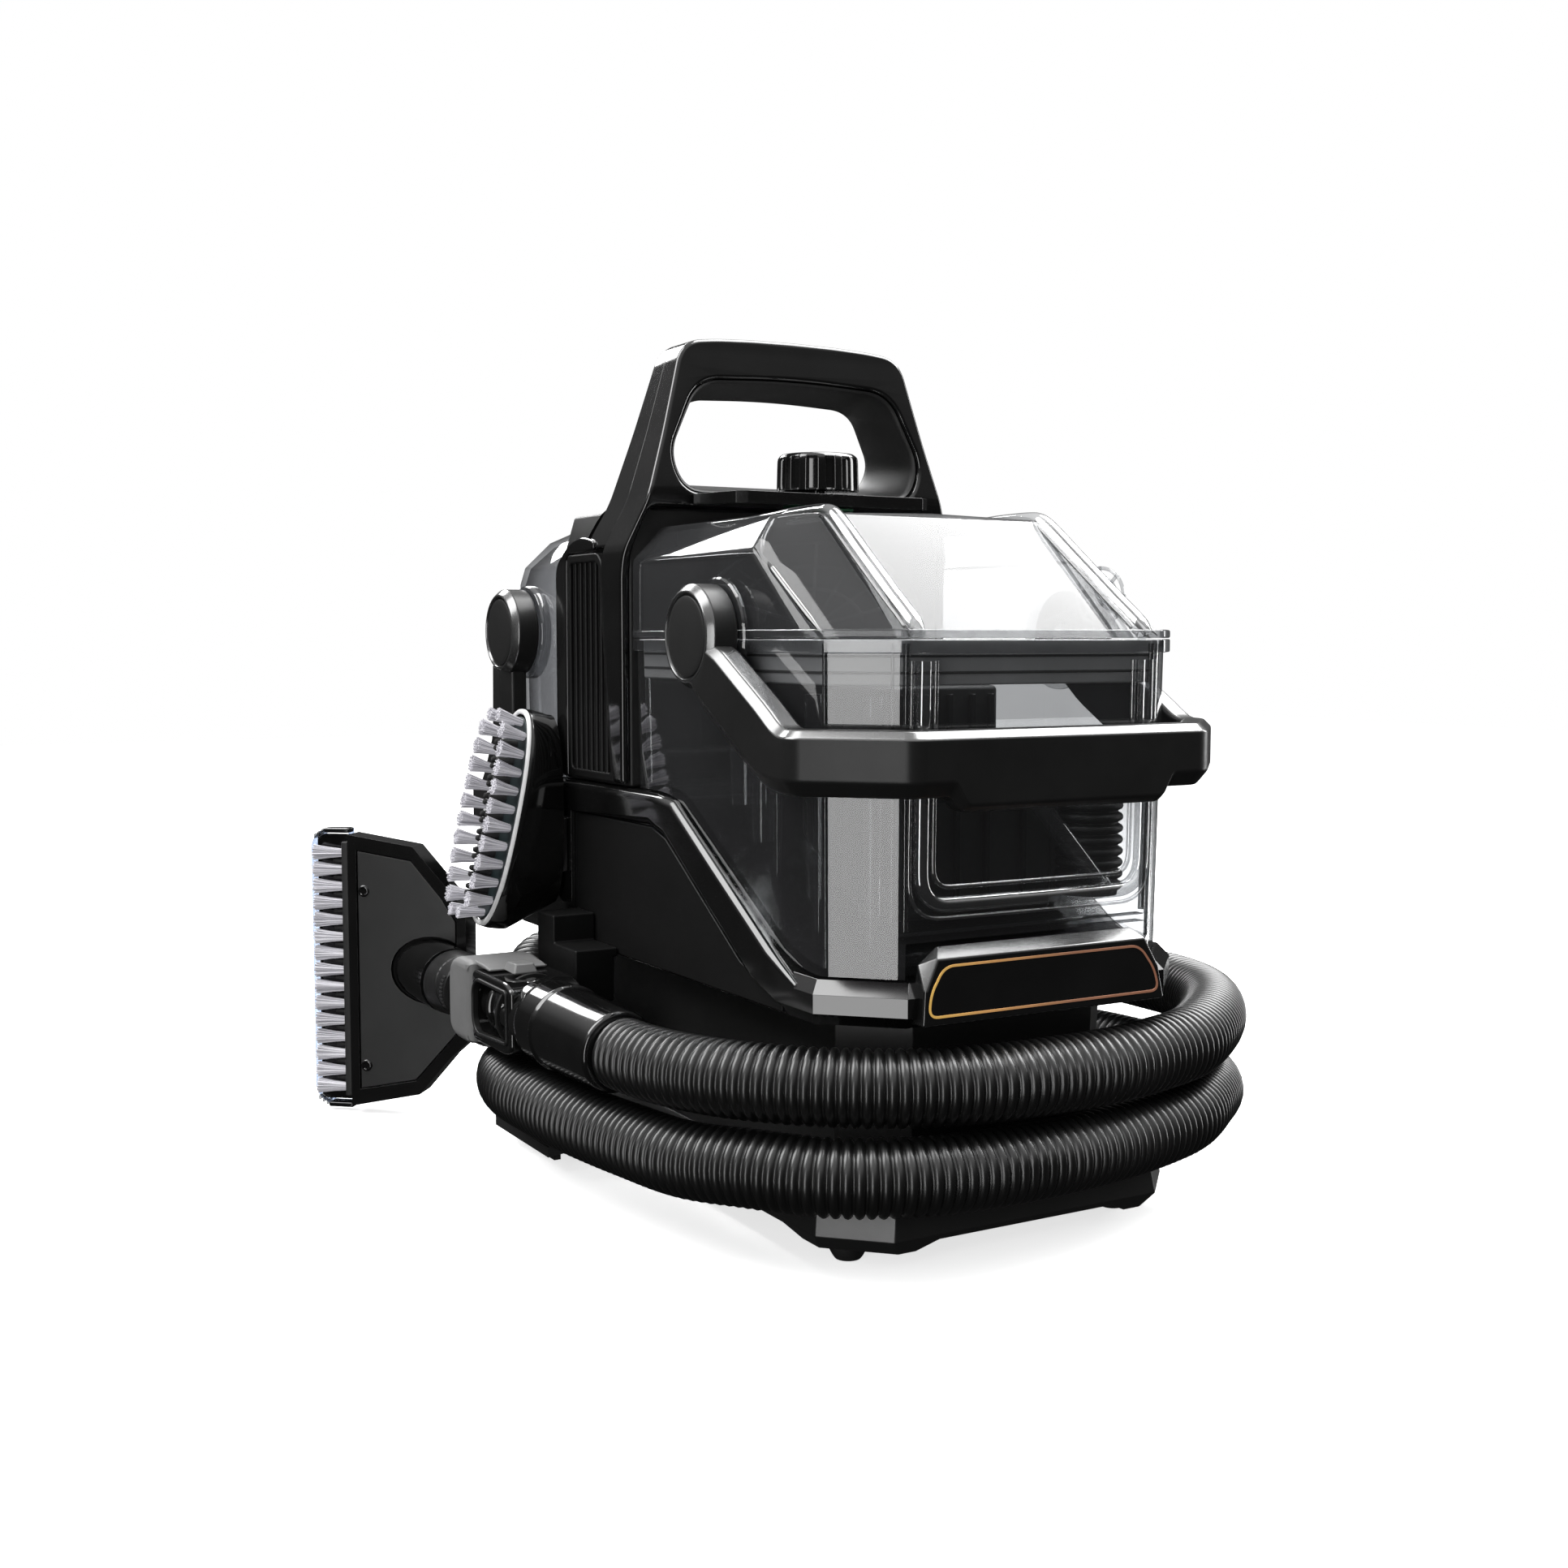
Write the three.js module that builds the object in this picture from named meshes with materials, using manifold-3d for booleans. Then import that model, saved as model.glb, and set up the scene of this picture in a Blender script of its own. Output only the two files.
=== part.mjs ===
// Portable spot extractor: an assembly of separate, named pieces.
// Frame, in millimetres: x to the right as seen from the front, the front faces -y, z up,
// origin on the floor under the middle of the machine.
import * as THREE from "three";
import { mergeVertices } from "three/addons/utils/BufferGeometryUtils.js";
import { ConvexGeometry } from "three/addons/geometries/ConvexGeometry.js";
import Module from "manifold-3d";

const wasm = await Module();
wasm.setup();

// ---- driving dimensions ----------------------------------------------------
const GAP = 0.4; // clearance between neighbouring pieces
const WALL = 2.6; // tank and lid wall
const BODY_HALF = 95.5; // half width of the body shell
const TANK_HALF = 91.3; // half width of the tanks at their rims
const FRONT = -195; // front face of the body shell
const REAR = 190; // rear face of the body shell
const FLOOR = 8; // lowest edge of the base skirt above the floor
const SKIRT_TOP = 26;
const BELT = 103.3; // lower edge of the body shell
const DECK = 188.5; // top of the body shell between the tanks
const REAR_SHELF = 172; // what the clean water tank stands on
const SEAM = 262.2; // lid seam of the recovery tank
const LID_TOP = 316.5;
const TANK_BACK = 14.4; // rear face of the recovery tank at the seam
const SIDES = [-1, 1]; // left, right

// axes along x, as (y, z)
const FRONT_HUB = [-84.4, 263];
const REAR_HUB = [139.2, 265.6];
const HOSE_PORT = [60, 45.5];
const PUMP = [-118, 57];
// axes along z, as (x, y)
const KNOB = [0, -11];
const MOTOR = [0, 58];
const FLOAT = [68, -60];
const VALVE = [40, 140];
const FILL = [0, 133];
const FEET = {
  front_left: [-72, -157],
  front_right: [72, -157],
  rear_left: [-72, 157],
  rear_right: [72, 157],
};

// ---- finishes --------------------------------------------------------------
const GLOSS = { color: 0x0b0b0c, roughness: 0.12 };
const MATTE = { color: 0x111112, roughness: 0.55 };
const SATIN = { color: 0x2a2b2d, roughness: 0.4 };
const CLEAR = { color: 0x8a8d90, roughness: 0.06, transparent: true, opacity: 0.4 };
const RUBBER = { color: 0x1b1b1c, roughness: 0.8 };
const GREY = { color: 0x7d7e80, roughness: 0.65 };
const BRISTLE = { color: 0xb4b3bd, roughness: 0.6 };
const METAL = { color: 0xa9abae, roughness: 0.3, metalness: 1 };
const WHITE = { color: 0xd8d8d4, roughness: 0.5 };
const BOARD = { color: 0x1f5a34, roughness: 0.5 };

// ---- solids ----------------------------------------------------------------
// a closed manifold from a geometry, turned right side out
function toSolid(geometry, matrix) {
  if (matrix) geometry.applyMatrix4(matrix);
  for (const key of Object.keys(geometry.attributes)) {
    if (key !== "position") geometry.deleteAttribute(key);
  }
  const merged = mergeVertices(geometry, 1e-3);
  const index = merged.index.array;
  const triangles = [];
  for (let i = 0; i < index.length; i += 3) {
    const [a, b, c] = [index[i], index[i + 1], index[i + 2]];
    if (a !== b && b !== c && a !== c) triangles.push(a, b, c);
  }
  const make = () =>
    new wasm.Manifold(
      new wasm.Mesh({
        numProp: 3,
        vertProperties: new Float32Array(merged.attributes.position.array),
        triVerts: new Uint32Array(triangles),
      }),
    );
  const made = make();
  if (made.volume() >= 0) return made;
  for (let i = 0; i < triangles.length; i += 3) {
    [triangles[i + 1], triangles[i + 2]] = [triangles[i + 2], triangles[i + 1]];
  }
  return make();
}
const join = (...solids) => solids.reduce((a, b) => a.add(b));
const cut = (first, ...tools) => tools.reduce((a, b) => a.subtract(b), first);
const common = (first, ...others) => others.reduce((a, b) => a.intersect(b), first);

function box(x0, x1, y0, y1, z0, z1) {
  const geometry = new THREE.BoxGeometry(Math.abs(x1 - x0), y1 - y0, z1 - z0);
  return toSolid(geometry.translate((x0 + x1) / 2, (y0 + y1) / 2, (z0 + z1) / 2));
}

// an outline extruded along axis w, its own axes laid along u and v
function prism(points, depth, [u, v, w], origin, hole) {
  const flat = (pts) => pts.map((p) => new THREE.Vector2(...p));
  const shape = new THREE.Shape(flat(points));
  if (hole) shape.holes.push(new THREE.Shape(flat(hole)));
  const axes = [u, v, w].map((axis) => new THREE.Vector3(...axis));
  const matrix = new THREE.Matrix4().makeBasis(...axes).setPosition(...origin);
  return toSolid(new THREE.ExtrudeGeometry(shape, { depth, bevelEnabled: false }), matrix);
}
const [X, Y, Z] = [[1, 0, 0], [0, 1, 0], [0, 0, 1]];
// points are (y, z); the two ends may come in either order
const prismX = (points, x0, x1) =>
  prism(points, Math.abs(x1 - x0), [Y, Z, X], [Math.min(x0, x1), 0, 0]);
// points are (x, z)
const prismY = (points, y0, y1, hole) =>
  prism(points, y1 - y0, [X, Z, [0, -1, 0]], [0, y1, 0], hole);
// points are (x, y)
const prismZ = (points, z0, z1) => prism(points, z1 - z0, [X, Y, Z], [0, 0, z0]);

function rod(from, to, radius, segments = 24, endRadius = radius) {
  const start = new THREE.Vector3(...from);
  const end = new THREE.Vector3(...to);
  const along = end.clone().sub(start);
  const geometry = new THREE.CylinderGeometry(endRadius, radius, along.length(), segments);
  const matrix = new THREE.Matrix4().compose(
    start.add(end).multiplyScalar(0.5),
    new THREE.Quaternion().setFromUnitVectors(new THREE.Vector3(...Y), along.normalize()),
    new THREE.Vector3(1, 1, 1),
  );
  return toSolid(geometry, matrix);
}
const rodX = ([y, z], x0, x1, ...size) => rod([x0, y, z], [x1, y, z], ...size);
const rodZ = ([x, y], z0, z1, ...size) => rod([x, y, z0], [x, y, z1], ...size);

const hull = (points) =>
  toSolid(new ConvexGeometry(points.map((p) => new THREE.Vector3(...p))));

function indexedSolid(points, faces) {
  const geometry = new THREE.BufferGeometry();
  geometry.setAttribute("position", new THREE.Float32BufferAttribute(points.flat(), 3));
  geometry.setIndex(faces);
  return toSolid(geometry);
}
// the faces between two rings of n points that start at indices a and b
function band(a, b, n) {
  const faces = [];
  for (let i = 0; i < n; i++) {
    const j = (i + 1) % n;
    faces.push(a + i, a + j, b + j, a + i, b + j, b + i);
  }
  return faces;
}
// rings of points with the same count, closed with fans at both ends
function loft(rings) {
  const n = rings[0].length;
  const last = rings.length - 1;
  const points = rings.flat();
  const faces = rings.slice(1).flatMap((_, k) => band(k * n, (k + 1) * n, n));
  for (const k of [0, last]) {
    const centre = points.length;
    points.push([0, 1, 2].map((d) => rings[k].reduce((sum, p) => sum + p[d], 0) / n));
    for (let i = 0; i < n; i++) {
      const a = k * n + i;
      const b = k * n + ((i + 1) % n);
      faces.push(centre, ...(k === 0 ? [b, a] : [a, b]));
    }
  }
  return indexedSolid(points, faces);
}
// rings joined one to the next and the last to the first
function ringLoft(rings) {
  const n = rings[0].length;
  const faces = rings.flatMap((_, k) => band(k * n, ((k + 1) % rings.length) * n, n));
  return indexedSolid(rings.flat(), faces);
}

const turn = (i, count) => (i / count) * 2 * Math.PI;

// a tube along points, hollow when an inner radius is given
function tube(points, steps, radius, segments, innerRadius) {
  const knots = points.map((p) => new THREE.Vector3(...p));
  const curve = new THREE.CatmullRomCurve3(knots, false, "centripetal");
  curve.arcLengthDivisions = 600;
  const spine = curve.getSpacedPoints(steps);
  let normal = new THREE.Vector3(...Z);
  const outer = [];
  const bore = [];
  spine.forEach((centre, i) => {
    const before = spine[Math.max(i - 1, 0)];
    const tangent = spine[Math.min(i + 1, steps)].clone().sub(before).normalize();
    // carry the last normal over, squared up to the new tangent
    normal = normal.clone().sub(tangent.clone().multiplyScalar(normal.dot(tangent))).normalize();
    const side = tangent.clone().cross(normal);
    const ring = (r) =>
      Array.from({ length: segments }, (_, k) => {
        const angle = turn(k + 0.5, segments);
        return centre
          .clone()
          .addScaledVector(normal, r * Math.cos(angle))
          .addScaledVector(side, r * Math.sin(angle))
          .toArray();
      });
    outer.push(ring(radius));
    if (innerRadius) bore.push(ring(innerRadius));
  });
  return innerRadius ? ringLoft([...outer, ...bore.reverse()]) : loft(outer);
}

// ---- outlines --------------------------------------------------------------
// an eight-sided plan with cut corners
const octagon = (half, front, rear, frontCut, rearCut) => [
  [-half + frontCut, front], [half - frontCut, front],
  [half, front + frontCut], [half, rear - rearCut],
  [half - rearCut, rear], [-half + rearCut, rear],
  [-half, rear - rearCut], [-half, front + frontCut],
];
// rows are z, half width, front y, rear y, front corner cut, rear corner cut
const octagonLoft = (rows) =>
  loft(rows.map(([z, ...plan]) => octagon(...plan).map(([x, y]) => [x, y, z])));

// completes the right half of an outline; points at x = 0 are not doubled
const mirrored = (half) => [
  ...half,
  ...half.filter(([x]) => x !== 0).reverse().map(([x, v]) => [-x, v]),
];
// 3D points, each followed by its mirror image in x
const bothSides = (points) => points.flatMap(([x, y, z]) => [[x, y, z], [-x, y, z]]);

// rounds every corner of a closed outline by radius where its sides allow
function rounded(points, radius, steps) {
  const count = points.length;
  return points.flatMap((point, i) => {
    const corner = new THREE.Vector2(...point);
    const back = new THREE.Vector2(...points[(i + count - 1) % count]).sub(corner);
    const ahead = new THREE.Vector2(...points[(i + 1) % count]).sub(corner);
    const reach = Math.min(radius, back.length() * 0.45, ahead.length() * 0.45);
    const start = corner.clone().addScaledVector(back.normalize(), reach);
    const end = corner.clone().addScaledVector(ahead.normalize(), reach);
    const curve = new THREE.QuadraticBezierCurve(start, corner, end);
    return Array.from({ length: steps + 1 }, (_, j) => curve.getPoint(j / steps).toArray());
  });
}
// a circle of points that step two out, two in
const fluted = ([x, y], count, outer, inner) =>
  Array.from({ length: count }, (_, i) => {
    const radius = i % 4 < 2 ? outer : inner;
    return [x + radius * Math.cos(turn(i, count)), y + radius * Math.sin(turn(i, count))];
  });

// ---- base ------------------------------------------------------------------
// a skirt that stands round the feet, and the narrow waist that the hose wraps
function lowerHousing() {
  const outer = join(
    octagonLoft([
      [FLOOR, 88.5, -184.5, 186.5, 24, 24],
      [15, 93.5, -189.5, 190, 24, 24],
      [SKIRT_TOP, 92, -188, 189, 24, 24],
    ]),
    octagonLoft([
      [SKIRT_TOP - 4, 73, -171, 168, 24, 24],
      [44, 70.5, -167.5, 165, 24, 24],
      [BELT - GAP, 72, -170, 166, 24, 24],
    ]),
  );
  const inner = join(
    octagonLoft([
      [FLOOR - 1, 84.5, -180.5, 182.5, 23, 23],
      [SKIRT_TOP - 4, 89, -185, 186, 23, 23],
    ]),
    prismZ(octagon(67.5, -164.5, 162, 23, 23), 20, 99.5),
  );
  // the skirt's lower edge rises between the corners
  const arches = [
    prismY([[-58, 7], [-46, 12.5], [46, 12.5], [58, 7]], -200, 200),
    prismX([[-150, 7], [-136, 12.5], [136, 12.5], [150, 7]], -100, 100),
  ];
  const openings = [
    rodX(HOSE_PORT, 60, 80, 13),
    rodZ(MOTOR, 90, 110, 21.5), // air duct
    box(-40, 40, -60, 10, 95, 110),
  ];
  return cut(outer, inner, ...arches, ...openings);
}
// a floor plate with a blind-holed boss over each foot
function basePan() {
  const feet = Object.values(FEET);
  return cut(
    join(
      prismZ(octagon(84, -180, 181.5, 22, 22), 13, 16),
      ...feet.map((foot) => rodZ(foot, 12.4, 15, 6.5, 16)),
    ),
    ...feet.map((foot) => rodZ(foot, 10, 14.5, 3.4, 12)),
  );
}
const footPad = (foot) =>
  join(
    rodZ(foot, 0, 2, 8.4, 14, 9.4),
    rodZ(foot, 1.9, 12, 9.4, 14),
    rodZ(foot, 11, 14, 3, 8), // peg into the pan
  );

// ---- body shell ------------------------------------------------------------
const PANEL_FLOOR = 91.2; // x of the bottom of the side recesses

function bodyShell() {
  const low = octagonLoft([
    [BELT, 91, -187.5, 186, 27, 27],
    [109, BODY_HALF, FRONT, REAR, 28, 28],
    [117, BODY_HALF, FRONT, REAR, 28, 28],
    [122.5, TANK_HALF, FRONT + 4.5, REAR - 3, 27, 27],
  ]);
  // side profiles (y, z): ramp under the recovery tank, deck, rear shelf
  const profile = [
    [-152, 114], [-152, 119], [-128, 130], [-36, 186], [-17, DECK], [99.5, DECK],
    [99.5, REAR_SHELF], [REAR, REAR_SHELF], [REAR, 110], [-150, 110],
  ];
  const innerProfile = [
    [-187, 100], [-187, 118.8], [-150, 118.8], [-126, 126], [-34, 181.5], [-15, 184],
    [95.5, 184], [95.5, 167.5], [186, 167.5], [186, 100],
  ];
  const recess = [
    [-140, 101], [-140, 108], [-101, 121], [-27, 168.5], [-12, 172.5], [80, 172.5], [80, 101],
  ];
  const high = common(
    prismX(profile, -BODY_HALF, BODY_HALF),
    prismZ(octagon(BODY_HALF, FRONT, REAR, 28, 28), 100, 200),
  );
  const hollow = common(
    prismX(innerProfile, -88, 88),
    prismZ(octagon(88, -188, 186, 28, 28), 99, 185),
  );
  return cut(
    join(low, high),
    hollow,
    ...SIDES.map((side) => prismX(recess, side * PANEL_FLOOR, side * 100)),
    box(-42, 42, 30, 85, 180, 192),
    rodZ(VALVE, 160, 180, 11.5),
    rodZ([0, -5], 176, 192, 9),
  );
}
function sidePanel(side) {
  const profile = [
    [-138, 104.5], [-138, 108], [-100.5, 120.3], [-26.6, 167.6],
    [-11.7, 171.8], [79.2, 171.8], [79.2, 104.5],
  ];
  const inside = PANEL_FLOOR + GAP;
  return prismX(profile, side * inside, side * (inside + 1.8));
}
function badgePlate() {
  // (y, z)
  const profile = [
    [-199, 106], [-199, 113], [-197.8, 123], [-196.6, 134.5], [-195.4, 136],
    [-191.4, 137], [-191.4, 125.5], [-195.5, 122.5], [-195.5, 106],
  ];
  const face = mirrored([[66, 106], [64, 113], [51.5, 137.2]]);
  return common(prismX(profile, -80, 80), prismY(face, -210, -180));
}
// a stem and a plate on the rear face
const cordHook = () =>
  join(box(-11, 11, REAR + GAP, 215, 119, 131), box(-30, 30, 214, 217.5, 108, 142));

// three flattened turns round the hook's stem, and a loose end
function powerCord() {
  const pointsPerTurn = 14;
  const count = 3 * pointsPerTurn;
  const path = [];
  for (let i = 0; i <= count; i++) {
    const angle = turn(i, pointsPerTurn) - Math.PI / 2;
    const across = Math.cos(angle);
    path.push([
      Math.sign(across) * Math.min(22, 24 * Math.abs(across) ** 0.8),
      195.3 + (i / count) * 14.6,
      125 + 15 * Math.sin(angle),
    ]);
  }
  path.push([16, 209.9, 107.5], [34, 209, 104], [52, 206, 108]);
  return tube(path, 66, 2.7, 5);
}

// ---- centre housing and grilles --------------------------------------------
function centerHousing() {
  const outer = mirrored([[91, DECK + GAP], [91, 303], [84, 326]]);
  const inner = mirrored([[88, 180], [88, 302], [82, 323]]);
  return cut(
    prismY(outer, 16, 99),
    prismY(inner, 19, 96),
    box(-100, 100, 42, 78, 205, 290), // opening through both sides
  );
}
// a plate with a raised border and upright ribs
function grille(side) {
  const edge = [[26.4, 190.5], [84, 190.5], [84, 305], [46, 305], [40.4, 300]];
  const inner = [[31.5, 195], [80, 195], [80, 300.5], [47.5, 300.5], [44.2, 298]];
  const border = cut(
    prismX(edge, side * 92.9, side * 95),
    prismX(inner, side * 90, side * 100),
  );
  const ribs = Array.from({ length: 6 }, (_, i) => {
    const y = 74.6 - i * 6.6;
    return box(side * 92.9, side * 94.6, y - 1.7, y + 1.7, 194.5, 301);
  });
  return join(prismX(edge, side * 91.4, side * 93), border, ...ribs);
}

// ---- carry handle ----------------------------------------------------------
// y of the handle's front and rear faces by height: (z, y)
const HANDLE_FRONT = [[190, 15.4], [296, 15.4], [316, 9], [330, 3.2], [409, 12]];
const HANDLE_REAR = [[190, 35.6], [300, 63.6], [312, 62], [328, 51], [409, 38]];
const HANDLE_BASE = 326.6; // underside of the top bow
const DIAL_SHAFT_HOLE = 5.2;

function interpolate(table, z) {
  if (z <= table[0][0]) return table[0][1];
  for (let i = 1; i < table.length; i++) {
    const [[z0, y0], [z1, y1]] = [table[i - 1], table[i]];
    if (z <= z1) return y0 + ((z - z0) / (z1 - z0)) * (y1 - y0);
  }
  return table[table.length - 1][1];
}
// y at a height; share runs from 0 at the front face to 1 at the rear face
function handleDepth(z, share) {
  const front = interpolate(HANDLE_FRONT, z);
  return front + share * (interpolate(HANDLE_REAR, z) - front);
}
// outlines below are (x, z)
const HANDLE_HOLE = rounded(
  [
    [0, 392.5], [-56.5, 389.5], [-74, 352], [-66, 333.4],
    [66, 333.4], [74, 352], [56.5, 389.5],
  ],
  11,
  4,
);
const HANDLE_OUTSIDE = [
  [0, 411.4], [24, 411], [44, 410.2], [58, 409], [63, 406.6], [65.8, 402],
  [70.4, 384], [76, 364], [81.6, 346], [86.6, 330], [91.5, 316],
];
// one half of the handle, between two shares of its depth
function handleHalf(halfOutline, fromShare, toShare, setBack) {
  const levels = [185, 190, 240, 296, 316, 330, 350, 380, 409, 415];
  const profile = [
    ...levels.map((z) => [handleDepth(z, fromShare) + setBack, z]),
    ...levels.map((z) => [handleDepth(z, toShare), z]).reverse(),
  ];
  return common(
    prismY(mirrored(halfOutline), -10, 110, HANDLE_HOLE),
    prismX(profile, -120, 120),
  );
}
// the front half runs down into two legs
function handleFrontShell() {
  const leg = [
    [95.6, 305], [96, 296], [96, 250], [96, 190.6],
    [91.5, 190.6], [91.5, 250], [91.5, 303],
  ];
  const under = [[84.6, HANDLE_BASE], [60, HANDLE_BASE], [0, HANDLE_BASE]];
  return handleHalf([...HANDLE_OUTSIDE, ...leg, ...under], 0, 0.5, 0);
}
// the rear half carries a flat frame down each side
function handleRearShell() {
  const under = [
    [94.5, 306.6], [91.5, 306.6], [84.8, HANDLE_BASE], [60, HANDLE_BASE], [0, HANDLE_BASE],
  ];
  const frame = [
    [50, 307], [50, 311], [64, 314], [80, 311.5], [98.6, 300],
    [98.6, 190.6], [84.6, 190.6], [84.6, 305.6], [60, 305.8],
  ];
  return join(
    handleHalf([...HANDLE_OUTSIDE, ...under], 0.5, 1, 0.5),
    ...SIDES.map((side) => prismX(frame, side * 91.5, side * 94.5)),
  );
}
// a sleeve inside the handle's hole, cleared round the knob
function handleLiner() {
  const [halfWidth, halfHeight, middle] = [60, 29, 361];
  const ring = ([inset, share]) =>
    HANDLE_HOLE.map(([x, z]) => {
      const height = middle + (z - middle) * (1 - inset / halfHeight);
      return [x * (1 - inset / halfWidth), handleDepth(height, share), height];
    });
  // inset from the hole's edge, share of the handle's depth
  const rings = [[0.6, 0.02], [0.6, 0.5], [0.6, 0.985], [6.5, 0.985], [5, 0.5], [1.9, 0.02]];
  return cut(ringLoft(rings.map(ring)), rodZ(KNOB, 320, 370, 21.4));
}

// ---- dial ------------------------------------------------------------------
function dialPlatform() {
  const plan = mirrored([[50, -30.5], [55, -27], [62, -4], [63, 1.6]]);
  return cut(prismZ(plan, HANDLE_BASE, 332.4), rodZ(KNOB, 320, 340, DIAL_SHAFT_HOLE));
}
const dialSwitch = () =>
  cut(box(-13, 13, -24, 1, 324.9, 326.2), rodZ(KNOB, 320, 340, DIAL_SHAFT_HOLE));

function dialKnob() {
  const cap = common(
    prismZ(fluted(KNOB, 56, 20.5, 18.9), 334.2, 353),
    join(rodZ(KNOB, 333, 349, 21.5, 28, 20.2), rodZ(KNOB, 348.9, 353, 20.3, 28, 17.6)),
  );
  return join(
    cut(cap, rodZ(KNOB, 350.6, 354, 14.5, 24, 16)),
    rodZ(KNOB, 325.2, 335, 4.7, 16), // shaft
    box(-1.4, 1.4, -28, -17, 349.5, 352), // pointer
  );
}

// ---- recovery tank, at the front -------------------------------------------
const RIM_PLAN = octagon(93.5, -193, 14.8, 26.4, 6); // shared by the tub and its lid

function frontTankTub() {
  // side profiles (y, z) whose lower edges follow the body's ramp
  const outerProfile = [
    [-210, 123.4], [-151.4, 123.4], [-128.4, 131], [-36.8, 187],
    [-17.6, 189.5], [40, 189.5], [40, 270], [-210, 270],
  ];
  const innerProfile = [
    [-210, 126.6], [-152.4, 126.6], [-130.4, 134], [-38.6, 190.2],
    [-18.4, 192.3], [40, 192.3], [40, 280], [-210, 280],
  ];
  const outer = common(
    octagonLoft([
      [118, 89.4, -188, 12, 25, 6],
      [SEAM - GAP, TANK_HALF, -190.5, TANK_BACK, 25.6, 6],
    ]),
    prismX(outerProfile, -120, 120),
  );
  const inner = common(
    octagonLoft([
      [117, 86.8, -185.4, 9.4, 24, 5],
      [SEAM + 2, TANK_HALF - WALL, -187.9, TANK_BACK - WALL, 24.6, 5],
    ]),
    prismX(innerProfile, -120, 120),
  );
  const rim = prismZ(RIM_PLAN, 256, SEAM - GAP);
  // a raised U on the front face (x, z)
  const rib = mirrored([
    [52, 150.5], [60, 158], [62, 168], [62, 252], [55, 252], [55, 172], [53, 163], [46, 157.5],
  ]);
  return cut(
    join(outer, rim, prismY(rib, -192.2, -188)),
    cut(inner, box(-66.6, 66.6, -200, -177, 100, 140.6)),
    box(-64, 64, -200, -179.6, 100, 138), // pocket behind the badge plate
  );
}
function tankSeparator() {
  const stack = join(
    prismX([[-150, 142], [-128, 137.5], [-44, 188.6], [-44, 236], [-150, 236]], -46, 46),
    prismX([[-50, 190], [-24, 193.5], [-24, 252], [-50, 252]], -30, 30),
  );
  return join(
    cut(stack, box(-42, 42, -146, -60, 200, 240), box(-26, 26, -46, -28, 200, 260)),
    // the float rides on a post held out from the stack
    rodZ(FLOAT, 179.5, 240, 2.6, 10),
    box(44, 70, -63, -57, 179.5, 182.5),
  );
}
const tankFloat = () => cut(rodZ(FLOAT, 186, 212, 12.5, 20), rodZ(FLOAT, 180, 220, 3.3, 12));

function frontLid() {
  const seamAt = (z) =>
    bothSides([[65.7, -190.5, z], [TANK_HALF, -165, z], [TANK_HALF, TANK_BACK, z]]);
  const upper = [
    ...bothSides([
      [TANK_HALF, TANK_BACK, 300], [TANK_HALF, -108.7, 300],
      [76, TANK_BACK, LID_TOP], [76, -99.2, LID_TOP], [57, -118, LID_TOP],
    ]),
    [0, TANK_BACK, LID_TOP + 2],
    [0, -112, LID_TOP + 2],
  ];
  // scaled in plan about y = -88, and lowered by the wall above the seam
  const shrink = ([x, y, z]) => [
    x * 0.9715,
    (y + 88) * 0.9745 - 88,
    z > SEAM + 3 ? z - WALL : z,
  ];
  const inside = hull([...seamAt(250), ...seamAt(SEAM), ...upper].map(shrink));
  const shell = join(hull([...seamAt(SEAM), ...upper]), prismZ(RIM_PLAN, SEAM, SEAM + 3.6));
  const [y, z] = FRONT_HUB;
  const pivots = SIDES.flatMap((side) => [
    rodX(FRONT_HUB, side * 93.9, side * 96.5, 26),
    // the pad's root stops at the seam
    cut(
      rodX(FRONT_HUB, side * 90.2, side * 94.2, 26),
      box(-100, 100, y - 40, y + 40, z - 40, SEAM),
    ),
    hubPin(side, FRONT_HUB),
  ]);
  return join(cut(shell, inside), ...pivots);
}
const lidGasket = () =>
  cut(
    octagonLoft([
      [243, 88, -187, 11, 24.2, 5],
      [SEAM - 0.5, 88.3, -187.4, 11.3, 24.3, 5],
    ]),
    prismZ(octagon(84.2, -183.2, 7.2, 22.8, 4), 240, 264),
  );

// ---- bails -----------------------------------------------------------------
const BAIL_INSIDE = 98.4; // half width between the arms
const CAP_RECESS = 18.3; // radius of the seat of a hub cap

const hubPin = (side, axis) => rodX(axis, side * 96.3, side * 109, 6, 12);
const hub = (side, axis) =>
  cut(
    join(
      rodX(axis, side * 97, side * 110, 23),
      rodX(axis, side * 109.9, side * 112.2, 23, 24, 21),
    ),
    rodX(axis, side * 96, side * 109.4, 6.5, 12),
    rodX(axis, side * 110.4, side * 113, CAP_RECESS, 20),
  );
const bailArm = (side, axis, profile) =>
  cut(
    prismX(profile, side * BAIL_INSIDE, side * 111.4),
    rodX(axis, side * 90, side * 120, CAP_RECESS, 20),
  );
const hubCap = (side, axis) => rodX(axis, side * 110.6, side * 111.6, 17.8, 20, 17.4);

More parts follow.
